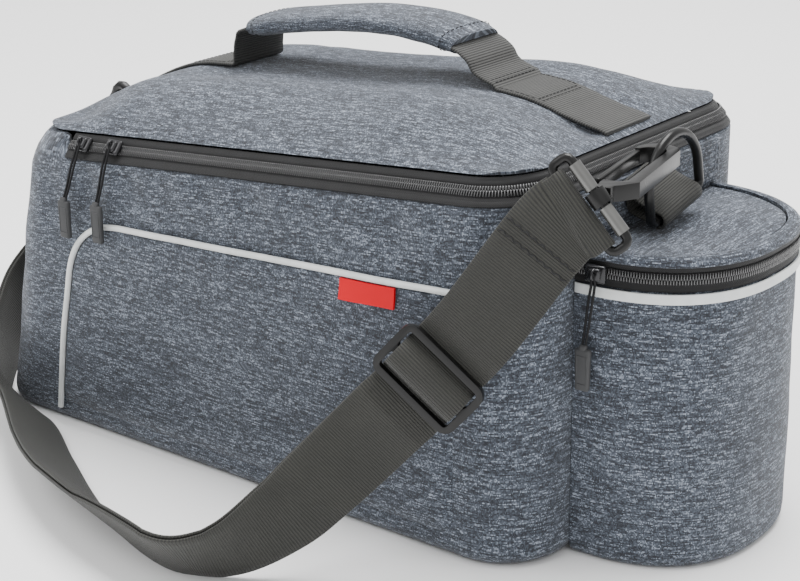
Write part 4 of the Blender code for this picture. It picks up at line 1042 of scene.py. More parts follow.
def red_tag():
    """Blank folded tag with a soft curl at its free edge."""
    line = side_pocket_line()
    slope = (line[-1] - line[-2]).normalized()
    start = HALF_LENGTH - TAG_REAR - TAG_LENGTH
    share = (start - line[-2].x) / (line[-1].x - line[-2].x)
    top = line[-2].lerp(line[-1], share) - Vector((-slope.y, slope.x)) * (PIPING / 2 + GAP)
    rings, columns, rows = [], 14, 8
    for k in range(rows + 1):
        down = k / rows
        ring_front, ring_back = [], []
        for i in range(columns + 1):
            p = top + slope * TAG_LENGTH * i / columns + Vector((0, -TAG_DROP * down))
            proud = HALF_WIDTH + 2 * GAP + SIDE_PANEL + max(side_relief(p.x, p.y), 0.0)
            curl = 0.0010 * down * down + 0.0004 * math.sin(i / columns * 5 + 1) * down
            ring_front.append(Vector((p.x, -(proud + TAG_THICK + curl), p.y)))
            ring_back.append(Vector((p.x, -(proud + curl), p.y)))
        rings.append(ring_front + list(reversed(ring_back)))
    made = loft("tag_cloth_folded", rings, lambda r, i: (0.0023 * i, 0.0014 * r), RED, sharp=50)
    finish_piece(made, ("red_tag",))


def bottle_plan(inset, back, count=64):
    """Outline of the rear pocket from above, from its near end to its far end."""
    x0 = HALF_LENGTH + GAP
    half, depth = BOTTLE_WIDTH / 2 - inset, BOTTLE_DEPTH - inset
    out = []
    for k in range(count + 1):
        turn = math.radians(-90 + 180 * k / count)
        c, s = max(math.cos(turn), 0.0), math.sin(turn)
        x = x0 + back + (depth - back) * c ** (2 / BOTTLE_POWER)
        out.append((x, math.copysign(half * abs(s) ** (2 / BOTTLE_POWER), s)))
    return out


BOTTLE_RIM = BOTTLE_ZIP - LOWER_TAPE - GAP


BOTTLE_DENTS = [
    # place across, height, two radii and depth
    (-0.030, 0.115, 0.02, 0.03, 0.0010), (-0.052, 0.110, 0.012, 0.04, -0.0014),
    (0.010, 0.060, 0.03, 0.05, 0.0010),
]


def bottle_relief(x, y, z):
    """Unevenness of the pocket's wall; drawn in near its foot and under the zip."""
    wave = min(ripple(x, y, z, 1.0) + dents(BOTTLE_DENTS, y, z), MOST_PROUD)
    return wave * smoothstep(0.0, FOOT_FADE, z) * smoothstep(BOTTLE_RIM, BOTTLE_RIM - 0.012, z)


def bottle_cloth():
    """Wall and bottom of the rear pocket, with its plain inside."""
    rings = []
    steps = [(0.0, 0.0055), (0.0006, 0.0030), (0.0018, 0.0014), (0.0040, 0.0004), (0.008, 0.0)]
    count = 24
    steps += [(0.008 + (BOTTLE_RIM - 0.009) * k / count, 0.0) for k in range(1, count + 1)]
    steps += [(BOTTLE_RIM, 0.0008)]
    for z, inset in steps:
        ring = []
        for x, y in bottle_plan(inset, 0.0):
            out = Vector((x - HALF_LENGTH, y, 0)).normalized()
            away = bottle_relief(x, y, z) * smoothstep(HALF_LENGTH + 0.001, HALF_LENGTH + 0.02, x)
            ring.append(Vector((x, y, z)) + out * away)
        rings.append(ring)
    wall = PADDED_CLOTH
    for z, inset in [(BOTTLE_RIM, wall), (wall + 0.004, wall), (wall, wall + 0.004)]:
        rings.append([Vector((x, y, z)) for x, y in bottle_plan(inset, 0.0018)])
    around = lengths(rings[8], True)
    up = [z for z, inset in steps] + [BOTTLE_RIM, 0.0, -0.01, -0.02]
    made = loft("bottle_pocket_cloth", rings, lambda r, i: (around[i] + 0.5, up[r]), CLOTH, sharp=80)
    finish_piece(made, ("bottle_pocket",))


def strip_round_pocket(name, profile, finish, sharp, back=False):
    """Sweeps a profile of inset and height round the rear pocket."""
    columns = []
    for inset, z in profile:
        outline = bottle_plan(inset, max(-inset, 0.0) if back else 0.0)
        columns.append([Vector((x, y, z)) for x, y in outline])
    rings = [list(ring) for ring in zip(*columns)]
    along = lengths([ring[0] for ring in rings])
    across = lengths([Vector((a, b, 0)) for a, b in profile], True)
    return loft(name, rings, ruled(along, across), finish, sharp=sharp)


def pocket_zip():
    """The rear pocket's zip tape and teeth, and the cloth rolled over the top of the tape."""
    t = TAPE_THICK
    reach = POCKET_LID_INSET - 2 * GAP
    tape = [(0.0, -LOWER_TAPE), (0.0, -COIL_WIDTH * 0.72), (0.0004, -COIL_WIDTH * 0.5),
            (-0.0002, -COIL_WIDTH * 0.4), (-0.0002, COIL_WIDTH * 0.4), (0.0004, COIL_WIDTH * 0.5),
            (-0.0004, COIL_WIDTH * 0.62), (-0.0004, UPPER_TAPE * 0.66), (t, UPPER_TAPE * 0.66),
            (t, -LOWER_TAPE)]
    rim = [(0.0003, UPPER_TAPE * 0.58), (-0.0007, UPPER_TAPE * 0.62), (-0.0008, UPPER_TAPE * 0.76),
           (0.0002, UPPER_TAPE * 0.93), (0.0018, UPPER_TAPE + t * 0.35), (0.0038, UPPER_TAPE + t * 0.55),
           (reach, UPPER_TAPE + t * 0.4), (reach, UPPER_TAPE - t), (0.0014 + t, UPPER_TAPE * 0.7),
           (t, UPPER_TAPE * 0.58)]
    tape, rim = [[(inset, BOTTLE_ZIP + rise) for inset, rise in profile] for profile in (tape, rim)]
    finish_piece(strip_round_pocket("pocket_zip_tape", tape, TAPE, 70), ("pocket_zipper",))
    finish_piece(strip_round_pocket("pocket_lid_rim", rim, CLOTH, 70))
    path = [Vector((x, y, BOTTLE_ZIP)) for x, y in bottle_plan(0.0, 0.0)]
    teeth(path, flat_outs(path), 0.0002, "pocket_zip_teeth")


def pocket_lid_height(x, y):
    """Height of the rear pocket's lid: a low crown with a fold and a dent."""
    across = abs(y) / (BOTTLE_WIDTH / 2)
    out = (x - HALF_LENGTH) / BOTTLE_DEPTH
    crown = BOTTLE_CROWN * max(0.0, 1 - across ** 2) * max(0.0, 1 - out ** 2)
    fall = BOTTLE_FALL * max(0.0, 1 - across ** 4) * max(0.0, 1 - out)
    fold = 0.0010 * math.sin(y * 70 + 0.6) * math.sin(min(max(out, 0), 1) * math.pi)
    dent = -0.0012 * bump_at(x, y, HALF_LENGTH + 0.030, -0.012, 0.016, 0.030)
    soft = (fold + dent + ripple(x, y, 1.0, 0.8)) * min(1, 3 * (1 - across))
    return BOTTLE_ZIP + UPPER_TAPE + crown - fall + soft


def pocket_lid_cloth():
    """Lid of the rear pocket, in strips from the body outward."""
    outline = bottle_plan(POCKET_LID_INSET, 0.0)[3:-3]
    rings, wall = [], PADDED_CLOTH * 0.8
    for x_out, y in outline:
        x0 = HALF_LENGTH + GAP
        xs = [x0 + (x_out - x0) * k / 18 for k in range(19)]
        ring = [Vector((x, y, pocket_lid_height(x, y) - 0.0008 * (k == 18))) for k, x in enumerate(xs)]
        ring += [Vector((x, y, pocket_lid_height(x, y) - wall)) for x in reversed(xs)]
        rings.append(ring)
    made = loft("pocket_lid_cloth", rings, lambda r, i: uv_lid(rings, r, i), CLOTH, sharp=70)
    finish_piece(made, ("pocket_lid",))


def uv_lid(rings, r, i):
    p = rings[r % len(rings)][i % len(rings[0])]
    return (p.y, p.x)


def reflective_band():
    """White band under the rear pocket's zip."""
    top = BOTTLE_RIM - GAP
    proud = GAP + BAND_THICK
    back = -GAP * 0.5
    edge = -GAP - BAND_THICK * 0.8
    profile = [(back, top), (back, top - BAND_HEIGHT), (edge, top - BAND_HEIGHT),
               (-proud, top - BAND_HEIGHT * 0.8), (-proud, top - BAND_HEIGHT * 0.2), (edge, top)]
    made = strip_round_pocket("reflective_band_trim", profile, TRIM, 50, True)
    finish_piece(made, ("reflective_band",))


# Sliders and pulls
def half_turn(centre, across, rise, steps=8):
    """Points of a half circle from one side over the top to the other."""
    turns = [math.radians(180 * k / steps) for k in range(steps + 1)]
    return [centre + across * math.cos(t) + rise * math.sin(t) for t in turns]


def slider_and_pull(prefix, at, out, along, face, lean, drop=PULL_DROP):
    """Domed slider with its bridge, a doubled cord and a blank moulded pull."""
    up = out.cross(along).normalized()
    if up.z < 0:
        up = -up
    seat = at + out * (TAPE_THICK / 2 + COIL_RISE + GAP + SLIDER_THICK / 2)
    turn = basis(along, out.cross(along), out, seat)
    plate = rounded_box(f"{prefix}_plate", (SLIDER_LENGTH, SLIDER_WIDTH, SLIDER_THICK), turn, 0.0011, GUN)
    dome = rounded_box(f"{prefix}_dome", (SLIDER_LENGTH * 0.62, SLIDER_WIDTH * 0.72, SLIDER_THICK),
                       basis(along, out.cross(along), out, seat + out * SLIDER_THICK * 0.55), 0.0012, GUN)
    loop = half_turn(seat + out * SLIDER_THICK * 0.6, -up * SLIDER_WIDTH * 0.28, out * 0.0026)
    bridge = tube(f"{prefix}_bridge", loop, 0.0007, 8, GUN, along)
    slider = join(f"{prefix}_slider_metal", [plate, dome, bridge])
    finish_piece(slider, (f"{prefix}_slider",))
    flat = Vector((out.x, out.y, 0)).normalized()
    side = Vector((-flat.y, flat.x, 0))
    tilt = math.sqrt(1 - up.z ** 2)
    base = seat - up * (SLIDER_WIDTH / 2 + GAP + PULL_CORD * 0.56 * tilt) + out * PULL_CORD * 0.2
    reach = face + PULL_THICK / 2 - base.dot(flat)
    end = base + flat * reach + Vector((0, 0, -drop)) + side * lean
    start = seat + out * (SLIDER_THICK * 0.75 + 0.0010)
    first, second = base.lerp(end, 0.3) + flat * 0.0012, base.lerp(end, 0.7)
    cords = []
    for number, shift in enumerate((-1, 1)):
        aside = side * shift * 0.00085
        path = curve_through([start + aside * 0.7, base + aside + flat * 0.0016, first + aside * 1.2,
                              second + aside, end + aside * 0.8 - Vector((0, 0, 0.001))], 0.0018)
        cords.append(tube(f"{prefix}_cord_{number}", path, 0.00062, 8, CORD_BLACK, flat))
    turned = half_turn(start + out * 0.0003, side * 0.0006, up * 0.0008)
    cords.append(tube(f"{prefix}_cord_2", turned, 0.00058, 8, CORD_BLACK, out))
    finish_piece(join(f"{prefix}_pull_loop", cords), (f"{prefix}_pull_cord",))
    half = PULL_LENGTH / 2
    middle = end + Vector((0, 0, -half - GAP))
    rise = Vector((0, 0, 1))
    body = rounded_box(f"{prefix}_block", (PULL_WIDTH, PULL_THICK, PULL_LENGTH),
                       basis(side, flat, rise, middle), 0.0012, RUBBER, 0.86)
    neck = rounded_box(f"{prefix}_neck", (PULL_WIDTH * 0.5, PULL_THICK * 0.9, 0.004),
                       basis(side, flat, rise, middle + rise * half * 0.98), 0.0010, RUBBER)
    rim = []
    for a, b in [(-1, -1), (1, -1), (1, 1), (-1, 1)]:
        on_face = middle + flat * (PULL_THICK / 2 - THREAD_SEAT)
        rim.append(on_face + side * a * PULL_WIDTH * 0.31 + rise * b * half * 0.66)
    loop = fill_line(rim + [rim[0]], 0.0012)[:-1]
    frame_rim = tube(f"{prefix}_rim", loop, 0.00032, 6, RUBBER, flat, closed=True)
    pull = join(f"{prefix}_pull_rubber", [body, neck, frame_rim])
    finish_piece(pull, (f"{prefix}_pull_tab",))


MAIN_PULLS_UP = 0.005


def sliders():
    """The two sliders of the main zip and the one of the rear pocket."""
    face = HALF_WIDTH + GAP + SIDE_PANEL + PIPING
    out = Vector((0, -math.cos(ZIP_TILT), math.sin(ZIP_TILT)))
    for name, from_front, lean in (("front", SLIDER_FRONT, 0.008), ("rear", SLIDER_REAR, 0.006)):
        x = -HALF_LENGTH + from_front
        at = Vector((x, -HALF_WIDTH + ZIP_INSET, zip_level(x)))
        slider_and_pull(f"main_{name}", at, out, Vector((1, 0, 0)), face, -lean, PULL_DROP - MAIN_PULLS_UP)
    outline = bottle_plan(0.0, 0.0, 24)
    a, b = Vector((*outline[0], 0)), Vector((*outline[2], 0))
    along = (b - a).normalized()
    out = Vector((along.y, -along.x, 0))
    at = Vector((*outline[1], BOTTLE_ZIP)) - out * TAPE_THICK / 2
    face = at.dot(out) + TAPE_THICK / 2 + COIL_RISE + 3 * GAP + SLIDER_THICK / 2
    slider_and_pull("pocket", at, out, along, face, -0.004)


# Handle
def handle_points():
    lay = WEBBING / 2 + GAP
    front = [HANDLE_FRONT_END + (HANDLE_FRONT_FOOT - HANDLE_FRONT_END) * k / 4 for k in range(5)]
    rear_end = LID_REAR - 0.003
    rear = [HANDLE_REAR_FOOT + (rear_end - HANDLE_REAR_FOOT) * k / 6 for k in range(1, 7)]
    low = [(x, lid_base(x, 0) + lay) for x in front]
    span = HANDLE_REAR_FOOT - HANDLE_FRONT_FOOT
    top = lid_base(HANDLE_FRONT_FOOT + span * 0.6, 0) + HANDLE_RISE
    rows = [(0.010, 0.20), (0.020, 0.44), (0.060, 0.62), (0.31, 0.84), (0.50, 0.97), (0.67, 1.0),
            (0.80, 0.92), (0.885, 0.76), (0.94, 0.52), (0.972, 0.22)]
    arch = []
    for along, up in rows:
        x = HANDLE_FRONT_FOOT + span * along
        base = lid_base(x, 0) + lay
        arch.append((x, base + (top - base) * up))
    high = [(x, lid_base(x, 0) + lay) for x in rear]
    return [Vector((x, 0, z)) for x, z in low + arch + high]


def handle():
    """Webbing of the handle with its stitched ends, and the padded sleeve round it."""
    across = Vector((0, 1, 0))
    path = curve_through(handle_points(), 0.0022)
    on_lid = []
    for p in path:
        p.z = max(p.z, lid_base(p.x, 0) + WEBBING / 2 + GAP)
        touching = p.z < lid_base(p.x, 0) + WEBBING + GAP
        if touching:
            p.z = max(lid_height(p.x, y) for y in (-0.019, -0.0095, 0, 0.0095, 0.019)) + WEBBING / 2 + 0.0002
        on_lid.append(touching)
    runs = tangents(path)
    made = webbing("handle_webbing_strip", [(p, across, r.cross(across)) for p, r in zip(path, runs)],
                   HANDLE_WIDTH, WEBBING, HANDLE_WEB)
    finish_piece(made, ("handle_webbing",))
    rows = []
    rear_rows = [HANDLE_REAR_FOOT + d for d in (0.004, 0.006, 0.030, 0.032)]
    front_rows = [HANDLE_FRONT_FOOT - d for d in (0.004, 0.006, 0.030)]
    for at in rear_rows + front_rows:
        k = min(range(len(path)), key=lambda n: abs(path[n].x - at))
        up = runs[k].cross(across)
        line = [path[k] + across * y / 1000 + up * (WEBBING / 2 + 0.0001) for y in range(-17, 18, 2)]
        rows += spots_along(line, [up] * len(line), 0.0030, 0.0015)
    for y in (-0.0172, 0.0172):
        for low, high in ((HANDLE_REAR_FOOT + 0.005, HANDLE_REAR_FOOT + 0.031),
                          (HANDLE_FRONT_FOOT - 0.031, HANDLE_FRONT_FOOT - 0.005)):
            keep = [k for k, p in enumerate(path) if low < p.x < high and on_lid[k]]
            ups = [runs[k].cross(across) for k in keep]
            line = [path[k] + across * y + u * (WEBBING / 2 + 0.0001) for k, u in zip(keep, ups)]
            rows += spots_along(line, ups, 0.0030, 0.0015)
    repeat("handle_stitches", rows, SMALL_STITCH, THREAD_DARK)
    span = HANDLE_REAR_FOOT - HANDLE_FRONT_FOOT
    start, end = HANDLE_FRONT_FOOT + span * 0.060, HANDLE_FRONT_FOOT + span * 0.885
    grip = [p for p in path if start < p.x < end]
    grip_runs = tangents(grip)
    sides, power = 36, 2 / 2.6
    at = lengths(grip)
    outer_rings = []
    for k, (p, run) in enumerate(zip(grip, grip_runs)):
        up = run.cross(across)
        ring = []
        near = min(at[k], at[-1] - at[k])
        mouth = 0.90 + 0.10 * smoothstep(0.0, 0.008, near)
        for c, s in circle(1, sides):
            a = math.copysign(abs(c) ** power, c) * GRIP_WIDTH / 2 * mouth
            b = math.copysign(abs(s) ** power, s) * GRIP_THICK / 2 * mouth
            fold = 0.00035 * math.sin(at[k] * 320 + c * 2) * (1 - abs(s)) if s < 0.3 else 0.0
            q = p + across * a + up * b
            out = (across * c + up * s)
            ring.append(q + out * (ripple(q.x, q.y, q.z, 0.45) + fold - 0.0004))
        outer_rings.append(ring)
    inner_rings = []
    for p, run in zip(grip, grip_runs):
        up = run.cross(across)
        section = [(math.copysign(abs(c) ** 0.35, c) * (HANDLE_WIDTH / 2 + 0.0001),
                    math.copysign(abs(s) ** 0.35, s) * GRIP_SLOT / 2) for c, s in circle(1, sides)]
        inner_rings.append(place(section, p, across, up))
    rings = outer_rings + list(reversed(inner_rings))
    girth = 0.09 / sides
    run_at = at + list(reversed(at)) + [0.0]
    made = loft("grip_sleeve", rings, lambda r, i: (run_at[r], i * girth + 0.2), CLOTH, closed=True, sharp=60)
    finish_piece(made, ("handle_grip",))
    seams = []
    for k in (3, len(grip) - 4):
        p, up = grip[k], grip_runs[k].cross(across)
        line, outs = [], []
        for c, s in circle(1, 40):
            a = math.copysign(abs(c) ** power, c) * GRIP_WIDTH / 2
            b = math.copysign(abs(s) ** power, s) * GRIP_THICK / 2
            line.append(p + across * a * 0.985 + up * b * 0.985)
            outs.append((across * c * 0.6 + up * s).normalized())
        seams += spots_along(line, outs, 0.0034, 0.0)
    repeat("grip_end_stitches", seams, SMALL_STITCH, THREAD_DARK)


# Rings, tabs, patches
def ring_station(end):
    if end > 0:
        out, z = Vector((1, 0, 0)), ZIP_HEIGHT - RING_DROP
        face, turn, across = HALF_LENGTH, RING_TILT, RING_ACROSS
    else:
        out = Vector((-1, 0, FRONT_LEAN)).normalized()
        z = zip_level(-HALF_LENGTH) - RING_DROP - 0.012
        face, turn, across = front_face(z), 0.0, 0.0
    side = Vector((0, 1, 0))
    rise = side.cross(out) if out.cross(side).z < 0 else out.cross(side)
    first = side * math.cos(turn) + rise * math.sin(turn)
    second = rise * math.cos(turn) - side * math.sin(turn)
    return Vector((face, across, z)), out, first, second


def ring_path(centre, across, up):
    half, bend = (RING_INNER + RING_WIRE) / 2, RING_WIRE * 0.7
    flat = [(-half + bend, 0.0), (-half / 2, 0.0), (0.0, 0.0), (half / 2, 0.0), (half - bend, 0.0)]
    for k in range(1, 6):
        turn = math.radians(-90 + 18 * k)
        flat.append((half - bend + bend * math.cos(turn), bend + bend * math.sin(turn)))
    for k in range(0, 33):
        turn = math.radians(180 * k / 32)
        flat.append((half * math.cos(turn), RING_LEG + RING_ARCH * math.sin(turn)))
    for k in range(0, 5):
        turn = math.radians(180 + 18 * k)
        flat.append((-half + bend + bend * math.cos(turn), bend + bend * math.sin(turn)))
    return [centre + across * a + up * b for a, b in flat]


def ring_and_tab(name, end):
    seat, out, first, second = ring_station(end)
    bend = ring_path(seat + out * RING_STAND, first, second)
    ring = tube(f"{name}_ring_moulded", bend, RING_WIRE / 2, 16, HARD, out, closed=True)
    finish_piece(ring, (f"{name}_d_ring",))
    reach = RING_WIRE / 2 + 2 * GAP + TAB_THICK / 2
    lay = PATCH_THICK + 2 * GAP + TAB_THICK / 2
    second_lay = lay + TAB_THICK + 2 * GAP
    line = [(lay, TAB_LENGTH), (lay, TAB_LENGTH * 0.62), (lay, TAB_LENGTH * 0.34),
            (lay * 1.5, TAB_LENGTH * 0.08)]
    for k in range(9):
        turn = math.radians(215 + 27.5 * k)
        line.append((RING_STAND + reach * math.cos(turn), reach * math.sin(turn)))
    line += [(second_lay + (RING_STAND - second_lay) * 0.35, TAB_LENGTH * 0.42),
             (second_lay, TAB_LENGTH * 0.66), (second_lay, TAB_LENGTH)]
    path = curve_through([seat + out * a + second * b for a, b in line], 0.0010)
    made = webbing(f"{name}_tab_strip", [(p, first, r.cross(first)) for p, r in zip(path, tangents(path))],
                   TAB_WIDTH, TAB_THICK, WEB)
    finish_piece(made, (f"{name}_webbing_tab",))


def patch(name, centre, first, second, out, width, height):
    """Cloth patch with a double row of stitches round its edge."""
    outline = []
    r = 0.003
    for cx, cy, start in ((1, -1, -90), (1, 1, 0), (-1, 1, 90), (-1, -1, 180)):
        for k in range(5):
            turn = math.radians(start + 22.5 * k)
            outline.append(Vector((cx * (width / 2 - r) + r * math.cos(turn),
                                   cy * (height / 2 - r) + r * math.sin(turn))))
    outline = fill_line(outline + [outline[0]], 0.005)[:-1]

    def at(p, away):
        q = centre + first * p.x + second * p.y
        return q + out * (away + ripple(q.x * 2, q.y * 2, q.z * 2, 0.15))

    half = PATCH_THICK / 2
    rings = [[at(p, -half) for p in outline], [at(p, half * 0.6) for p in outline]]
    for share in (0.985, 0.95, 0.85, 0.6, 0.3, 0.05):
        rings.append([at(p * share, half) for p in outline])
    uv = [[(p.x, p.y) for p in outline]] * 2 + [[(p.x * s, p.y * s) for p in outline]
                                               for s in (0.985, 0.95, 0.85, 0.6, 0.3, 0.05)]
    made = loft(f"{name}_patch_cloth", rings, lambda a, b: uv[min(a, 7)][b % len(outline)], CLOTH, sharp=70)
    finish_piece(made, (f"{name}_patch",))
    spots = []
    for inward in (0.0022, 0.0050):
        line = [Vector((p.x * (1 - 2 * inward / width), p.y * (1 - 2 * inward / height))) for p in outline]
        path = [at(p, half + 0.0002) for p in line + [line[0]]]
        spots += spots_along(path, [out] * len(path), 0.0034, 0.001)
    repeat(f"{name}_patch_stitches", spots, SMALL_STITCH, THREAD_LIGHT)


def patches():
    z = ZIP_HEIGHT - PATCH_DROP - PATCH_HEIGHT / 2
    patch("rear", Vector((HALF_LENGTH + GAP + PATCH_THICK / 2, 0, z)), Vector((0, 1, 0)), Vector((0, 0, 1)),
          Vector((1, 0, 0)), PATCH_WIDTH, PATCH_HEIGHT)
    seat, out, first, second = ring_station(-1)
    centre = seat + out * (GAP + PATCH_THICK / 2) + second * (TAB_LENGTH * 0.55)
    patch("front", centre, first, second, out, TAB_WIDTH * 1.5, PATCH_HEIGHT)


# Swivel bar of the rear hook and its direction
SWIVEL = Vector((HALF_LENGTH + SWIVEL_OUT, -HALF_WIDTH + SWIVEL_IN, ZIP_HEIGHT + SWIVEL_UP))
FRAME_ALONG = Vector((0.65, 0.10, -0.76)).normalized()
FRAME_PULL = Vector((0.654, 0.429, 0.622)).normalized()
FRAME_PULL = (FRAME_PULL - FRAME_ALONG * FRAME_PULL.dot(FRAME_ALONG)).normalized()


def hooks():
    """Rounded hook, gate and frames, with the satin sleeve on the swivel bar."""
    from_node("rear_hook_moulded", "rear_hook", HARD, 0.0011)
    from_node("rear_gate_lever", "rear_hook_gate", HARD, 0.0006, 2, "gate")
    from_node("rear_frame_moulded", "rear_hook_frame", HARD, 0.0002, 1)
    from_node("front_hook_moulded", "front_hook", HARD, 0.0003, 1)
    sleeves = []
    collar = 0.0044
    reach = 0.0175
    wall = 0.0009
    for number, (low, high) in enumerate(((-reach, -collar), (collar, reach))):
        path = [SWIVEL + FRAME_ALONG * (low + (high - low) * k / 4) for k in range(5)]
        sleeves.append(tube(f"sleeve_{number}", path, FRAME_WIRE / 2 + wall, 20, SATIN, FRAME_PULL))
    finish_piece(join("swivel_bar_sleeve", sleeves))


# Shoulder strap
# Strap's middle in half lengths, half widths and zip heights, then the direction across it
STRAP_ROUTE = [
    (0.920, -1.14, 0.693, 0.70, 0.18, -0.71),
    (0.815, -1.23, 0.553, 0.70, 0.23, -0.67),
    (0.722, -1.30, 0.441, 0.67, 0.28, -0.68),
    (0.645, -1.37, 0.346, 0.60, 0.29, -0.75),
    (0.579, -1.49, 0.257, 0.48, 0.37, -0.79),
    (0.523, -1.61, 0.184, 0.33, 0.47, -0.82),
    (0.430, -1.82, 0.106, -0.09, 0.53, -0.84),
    (0.290, -1.96, 0.082, -0.46, 0.53, -0.72),
    (0.011, -1.87, 0.082, -0.60, 0.62, -0.51),
    (-0.210, -1.72, 0.080, -0.48, 0.75, -0.46),
    (-0.435, -1.50, 0.070, -0.28, 0.82, -0.49),
    (-0.660, -1.25, 0.072, -0.16, 0.78, -0.60),
    (-0.880, -1.09, 0.100, -0.35, 0.52, -0.78),
    (-1.030, -0.82, 0.140, -0.35, 0.74, -0.58),
    (-1.095, -0.57, 0.240, -0.15, 0.88, -0.45),
    (-1.092, -0.385, 0.335, 0.00, 0.95, -0.30),
]
GLIDE_ROW = 1
FINE = 3


def strap_frames():
    strap_bar = SWIVEL - FRAME_PULL * FRAME_DEPTH
    seat, out, first, second = ring_station(-1)
    bar = seat + out * (RING_STAND + FRAME_REACH) + Vector((0, -FRAME_ASIDE, -FRAME_DROP))
    along = Vector((0.0, 0.98, -0.20)).normalized()
    pull = Vector((0.10, 0.2, 0.97))
    pull = (pull - along * pull.dot(along)).normalized()
    rows = [(*strap_bar, *FRAME_ALONG), (*(strap_bar - FRAME_PULL * FRAME_LEAD), *FRAME_ALONG)]
    for x, y, z, ex, ey, ez in STRAP_ROUTE:
        rows.append((x * HALF_LENGTH, y * HALF_WIDTH, z * ZIP_HEIGHT, ex, ey, ez))
    rows.append((*(bar - pull * FRAME_LEAD), *along))
    rows.append((*bar, *along))
    scaled = []
    for row in rows:
        edge = Vector(row[3:]).normalized() * 0.05
        scaled.append((*row[:3], *edge))
    path = curve_through(scaled, STRAP_STEP / FINE)
    centres = [Vector(p[:3]) for p in path]
    frames = []
    for p, run, c in zip(path, tangents(centres), centres):
        edge = Vector(p[3:])
        edge = (edge - run * edge.dot(run)).normalized()
        away = run.cross(edge)
        lowest = c.z - STRAP_WIDTH / 2 * abs(edge.z) - (STRAP_THICK + LAYER_GAP) * abs(away.z)
        frames.append((c + Vector((0, 0, max(0.0, FLOOR_GAP - lowest))), run, edge, away))
    for n in range(FINE + 1):
        back = -FRAME_PULL * STRAP_STEP / FINE * n
        frames[n] = (strap_bar + back, -FRAME_PULL, FRAME_ALONG, FRAME_ALONG.cross(FRAME_PULL))
        frames[-1 - n] = (bar - pull * STRAP_STEP / FINE * n, pull, along, pull.cross(along))
    return frames


def shoulder_strap():
    frames = strap_frames()
    x, y, z = STRAP_ROUTE[GLIDE_ROW][:3]
    target = Vector((x * HALF_LENGTH, y * HALF_WIDTH, z * ZIP_HEIGHT))
    k = min(range(len(frames)), key=lambda n: (frames[n][0] - target).length)
    middle, run, edge, out = frames[k]
    half, bar = STRAP_THICK / 2, GLIDE_BAR / 2
    wrap = FRAME_WIRE / 2 + GAP + half
    layer = (STRAP_THICK + LAYER_GAP) / 2
    pitch = (GLIDE_WIDTH - GLIDE_BAR) / 2
    far = bar + 3 * GAP + STRAP_THICK * 1.5
    line = []
    hem = round(HEM / STRAP_STEP) * FINE
    for j in range(hem, FINE - 1, -1):
        c, r, e, o = frames[j]
        near = smoothstep(2 * FINE, FINE, j)
        away = (STRAP_THICK + LAYER_GAP) + (wrap * 0.6 - STRAP_THICK - LAYER_GAP) * near
        line.append((c - o * away, e, -o))
    c, r, e, o = frames[0]
    for n in range(21):
        turn = math.radians(100 - 10 * n)
        radial = -r * math.cos(turn) - o * math.sin(turn)
        line.append((c + radial * wrap, e, radial))
    for j in range(FINE, k):
        c, r, e, o = frames[j]
        if (c - middle).length > GLIDE_WIDTH * 0.85:
            line.append((c + o * wrap * 0.45 * smoothstep(2 * FINE, FINE, j), e, o))
    behind, over = -(bar + GAP + half), bar * LOOP_SHARE + 2 * GAP + STRAP_THICK + half
    weave = [(1.5, behind), (1.12, behind), (0.88, behind), (0.70, behind * 0.6), (0.56, over * 0.25),
             (0.43, over * 0.72), (0.28, over * 0.95), (0.12, over)]
    for a, b in [(-a, b) for a, b in weave] + list(reversed(weave)):
        line.append((middle + run * pitch * a + out * b, edge, None))
    last = len(frames) - 1
    outer = [j for j in range(k + 1, last) if (frames[j][0] - middle).length > GLIDE_WIDTH * 0.85]
    end = frames[last][0]
    spread = {}
    for j in outer:
        near = 1 - smoothstep(0.0, FRAME_LEAD, (end - frames[j][0]).length)
        spread[j] = layer + (wrap - layer) * near
    for j in outer:
        c, r, e, o = frames[j]
        line.append((c + o * spread[j], e, o))
    c, r, e, o = frames[last]
    for n in range(19):
        turn = math.radians(90 - 10 * n)
        radial = r * math.cos(turn) + o * math.sin(turn)
        line.append((c + radial * wrap, e, radial))
    for j in reversed(outer):
        c, r, e, o = frames[j]
        line.append((c - o * spread[j], e, -o))
    radius = bar * LOOP_SHARE + GAP + half
    for share, away in ((1.5, far), (1.12, far), (0.8, far), (0.4, radius)):
        line.append((middle + run * pitch * share - out * away, edge, -out))
    for n in range(1, 23):
        turn = math.radians(-90 - 10 * n)
        radial = run * math.cos(turn) + out * math.sin(turn)
        line.append((middle + radial * radius, edge, radial))
    ready = []
    for (p, e, normal), r in zip(line, tangents([p for p, e, n in line])):
        if normal is None:
            e = (e - r * e.dot(r)).normalized()
            normal = r.cross(e)
        ready.append((p, e, normal))
    made = webbing("shoulder_strap_webbing", ready, STRAP_WIDTH, STRAP_THICK, WEB)
    finish_piece(made, ("shoulder_strap",))
    zigzag = []
    for at in (8, 10):
        c, r, e, o = frames[at * FINE // 2]
        for n in range(-8, 9):
            lean = 0.5 if n % 2 else -0.5
            zigzag.append((c + e * n * 0.0021 + o * (STRAP_THICK / 2 + 0.0001), (e + r * lean), o))
    repeat("strap_hem_stitches", zigzag, STITCH, THREAD_DARK)
    from_node("tri_glide_moulded", "tri_glide", HARD, 0.0009, 3)


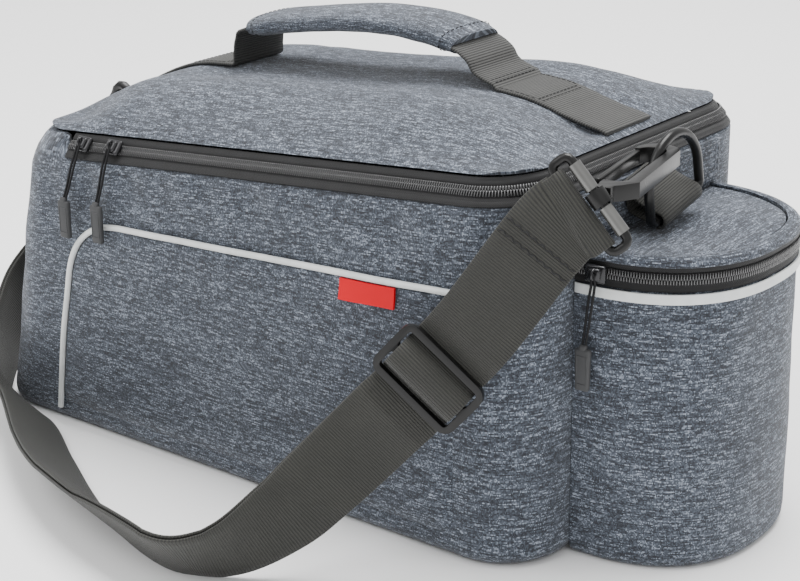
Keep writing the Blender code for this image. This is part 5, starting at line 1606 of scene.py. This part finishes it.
# Stage
def stage():
    mesh = bpy.data.meshes.new("floor")
    mesh.from_pydata([(-6, -6, 0), (6, -6, 0), (6, 6, 0), (-6, 6, 0)], [], [(0, 1, 2, 3)])
    floor = bpy.data.objects.new("floor", mesh)
    bpy.context.scene.collection.objects.link(floor)
    s = Shader("pale_floor", (0.94, 0.94, 0.94), 0.9)
    mesh.materials.append(s.material)
    world = bpy.data.worlds.new("studio")
    world.use_nodes = True
    world.node_tree.nodes["Background"].inputs[0].default_value = (1.0, 1.0, 1.0, 1)
    world.node_tree.nodes["Background"].inputs[1].default_value = 1.0
    bpy.context.scene.world = world
    for name, at, size, power in (("key", (-0.9, -1.5, 2.1), 1.6, 30.0), ("fill", (1.9, -1.2, 1.3), 1.8, 5.0),
                                  ("top", (0.1, 0.5, 2.4), 1.5, 105.0)):
        light = bpy.data.lights.new(name, "AREA")
        light.energy = power
        light.size = size
        lamp = bpy.data.objects.new(name, light)
        lamp.location = at
        lamp.rotation_euler = (Vector((0.02, 0, 0.1)) - Vector(at)).to_track_quat("-Z", "Y").to_euler()
        bpy.context.scene.collection.objects.link(lamp)


def camera():
    a, e, r = (math.radians(v) for v in (CAMERA_YAW, CAMERA_PITCH, CAMERA_ROLL))
    ahead = Vector((-math.sin(a) * math.cos(e), math.cos(a) * math.cos(e), -math.sin(e)))
    right = Vector((math.cos(a), math.sin(a), 0))
    up = right.cross(ahead)
    data = bpy.data.cameras.new("camera")
    data.lens = CAMERA_LENS
    data.sensor_width = SENSOR
    data.dof.use_dof = False
    made = bpy.data.objects.new("camera", data)
    level = right * math.cos(r) + up * math.sin(r)
    upright = up * math.cos(r) - right * math.sin(r)
    made.matrix_world = basis(level, upright, -ahead, CAMERA_AT)
    bpy.context.scene.collection.objects.link(made)
    bpy.context.scene.camera = made


camera()
stage()
body_cloth()
lid_cloth()
zip_strip()
side_pocket(-1, "near")
side_pocket(1, "far")
red_tag()
bottle_cloth()
pocket_zip()
pocket_lid_cloth()
reflective_band()
sliders()
handle()
ring_and_tab("rear", 1)
ring_and_tab("front", -1)
patches()
hooks()
shoulder_strap()
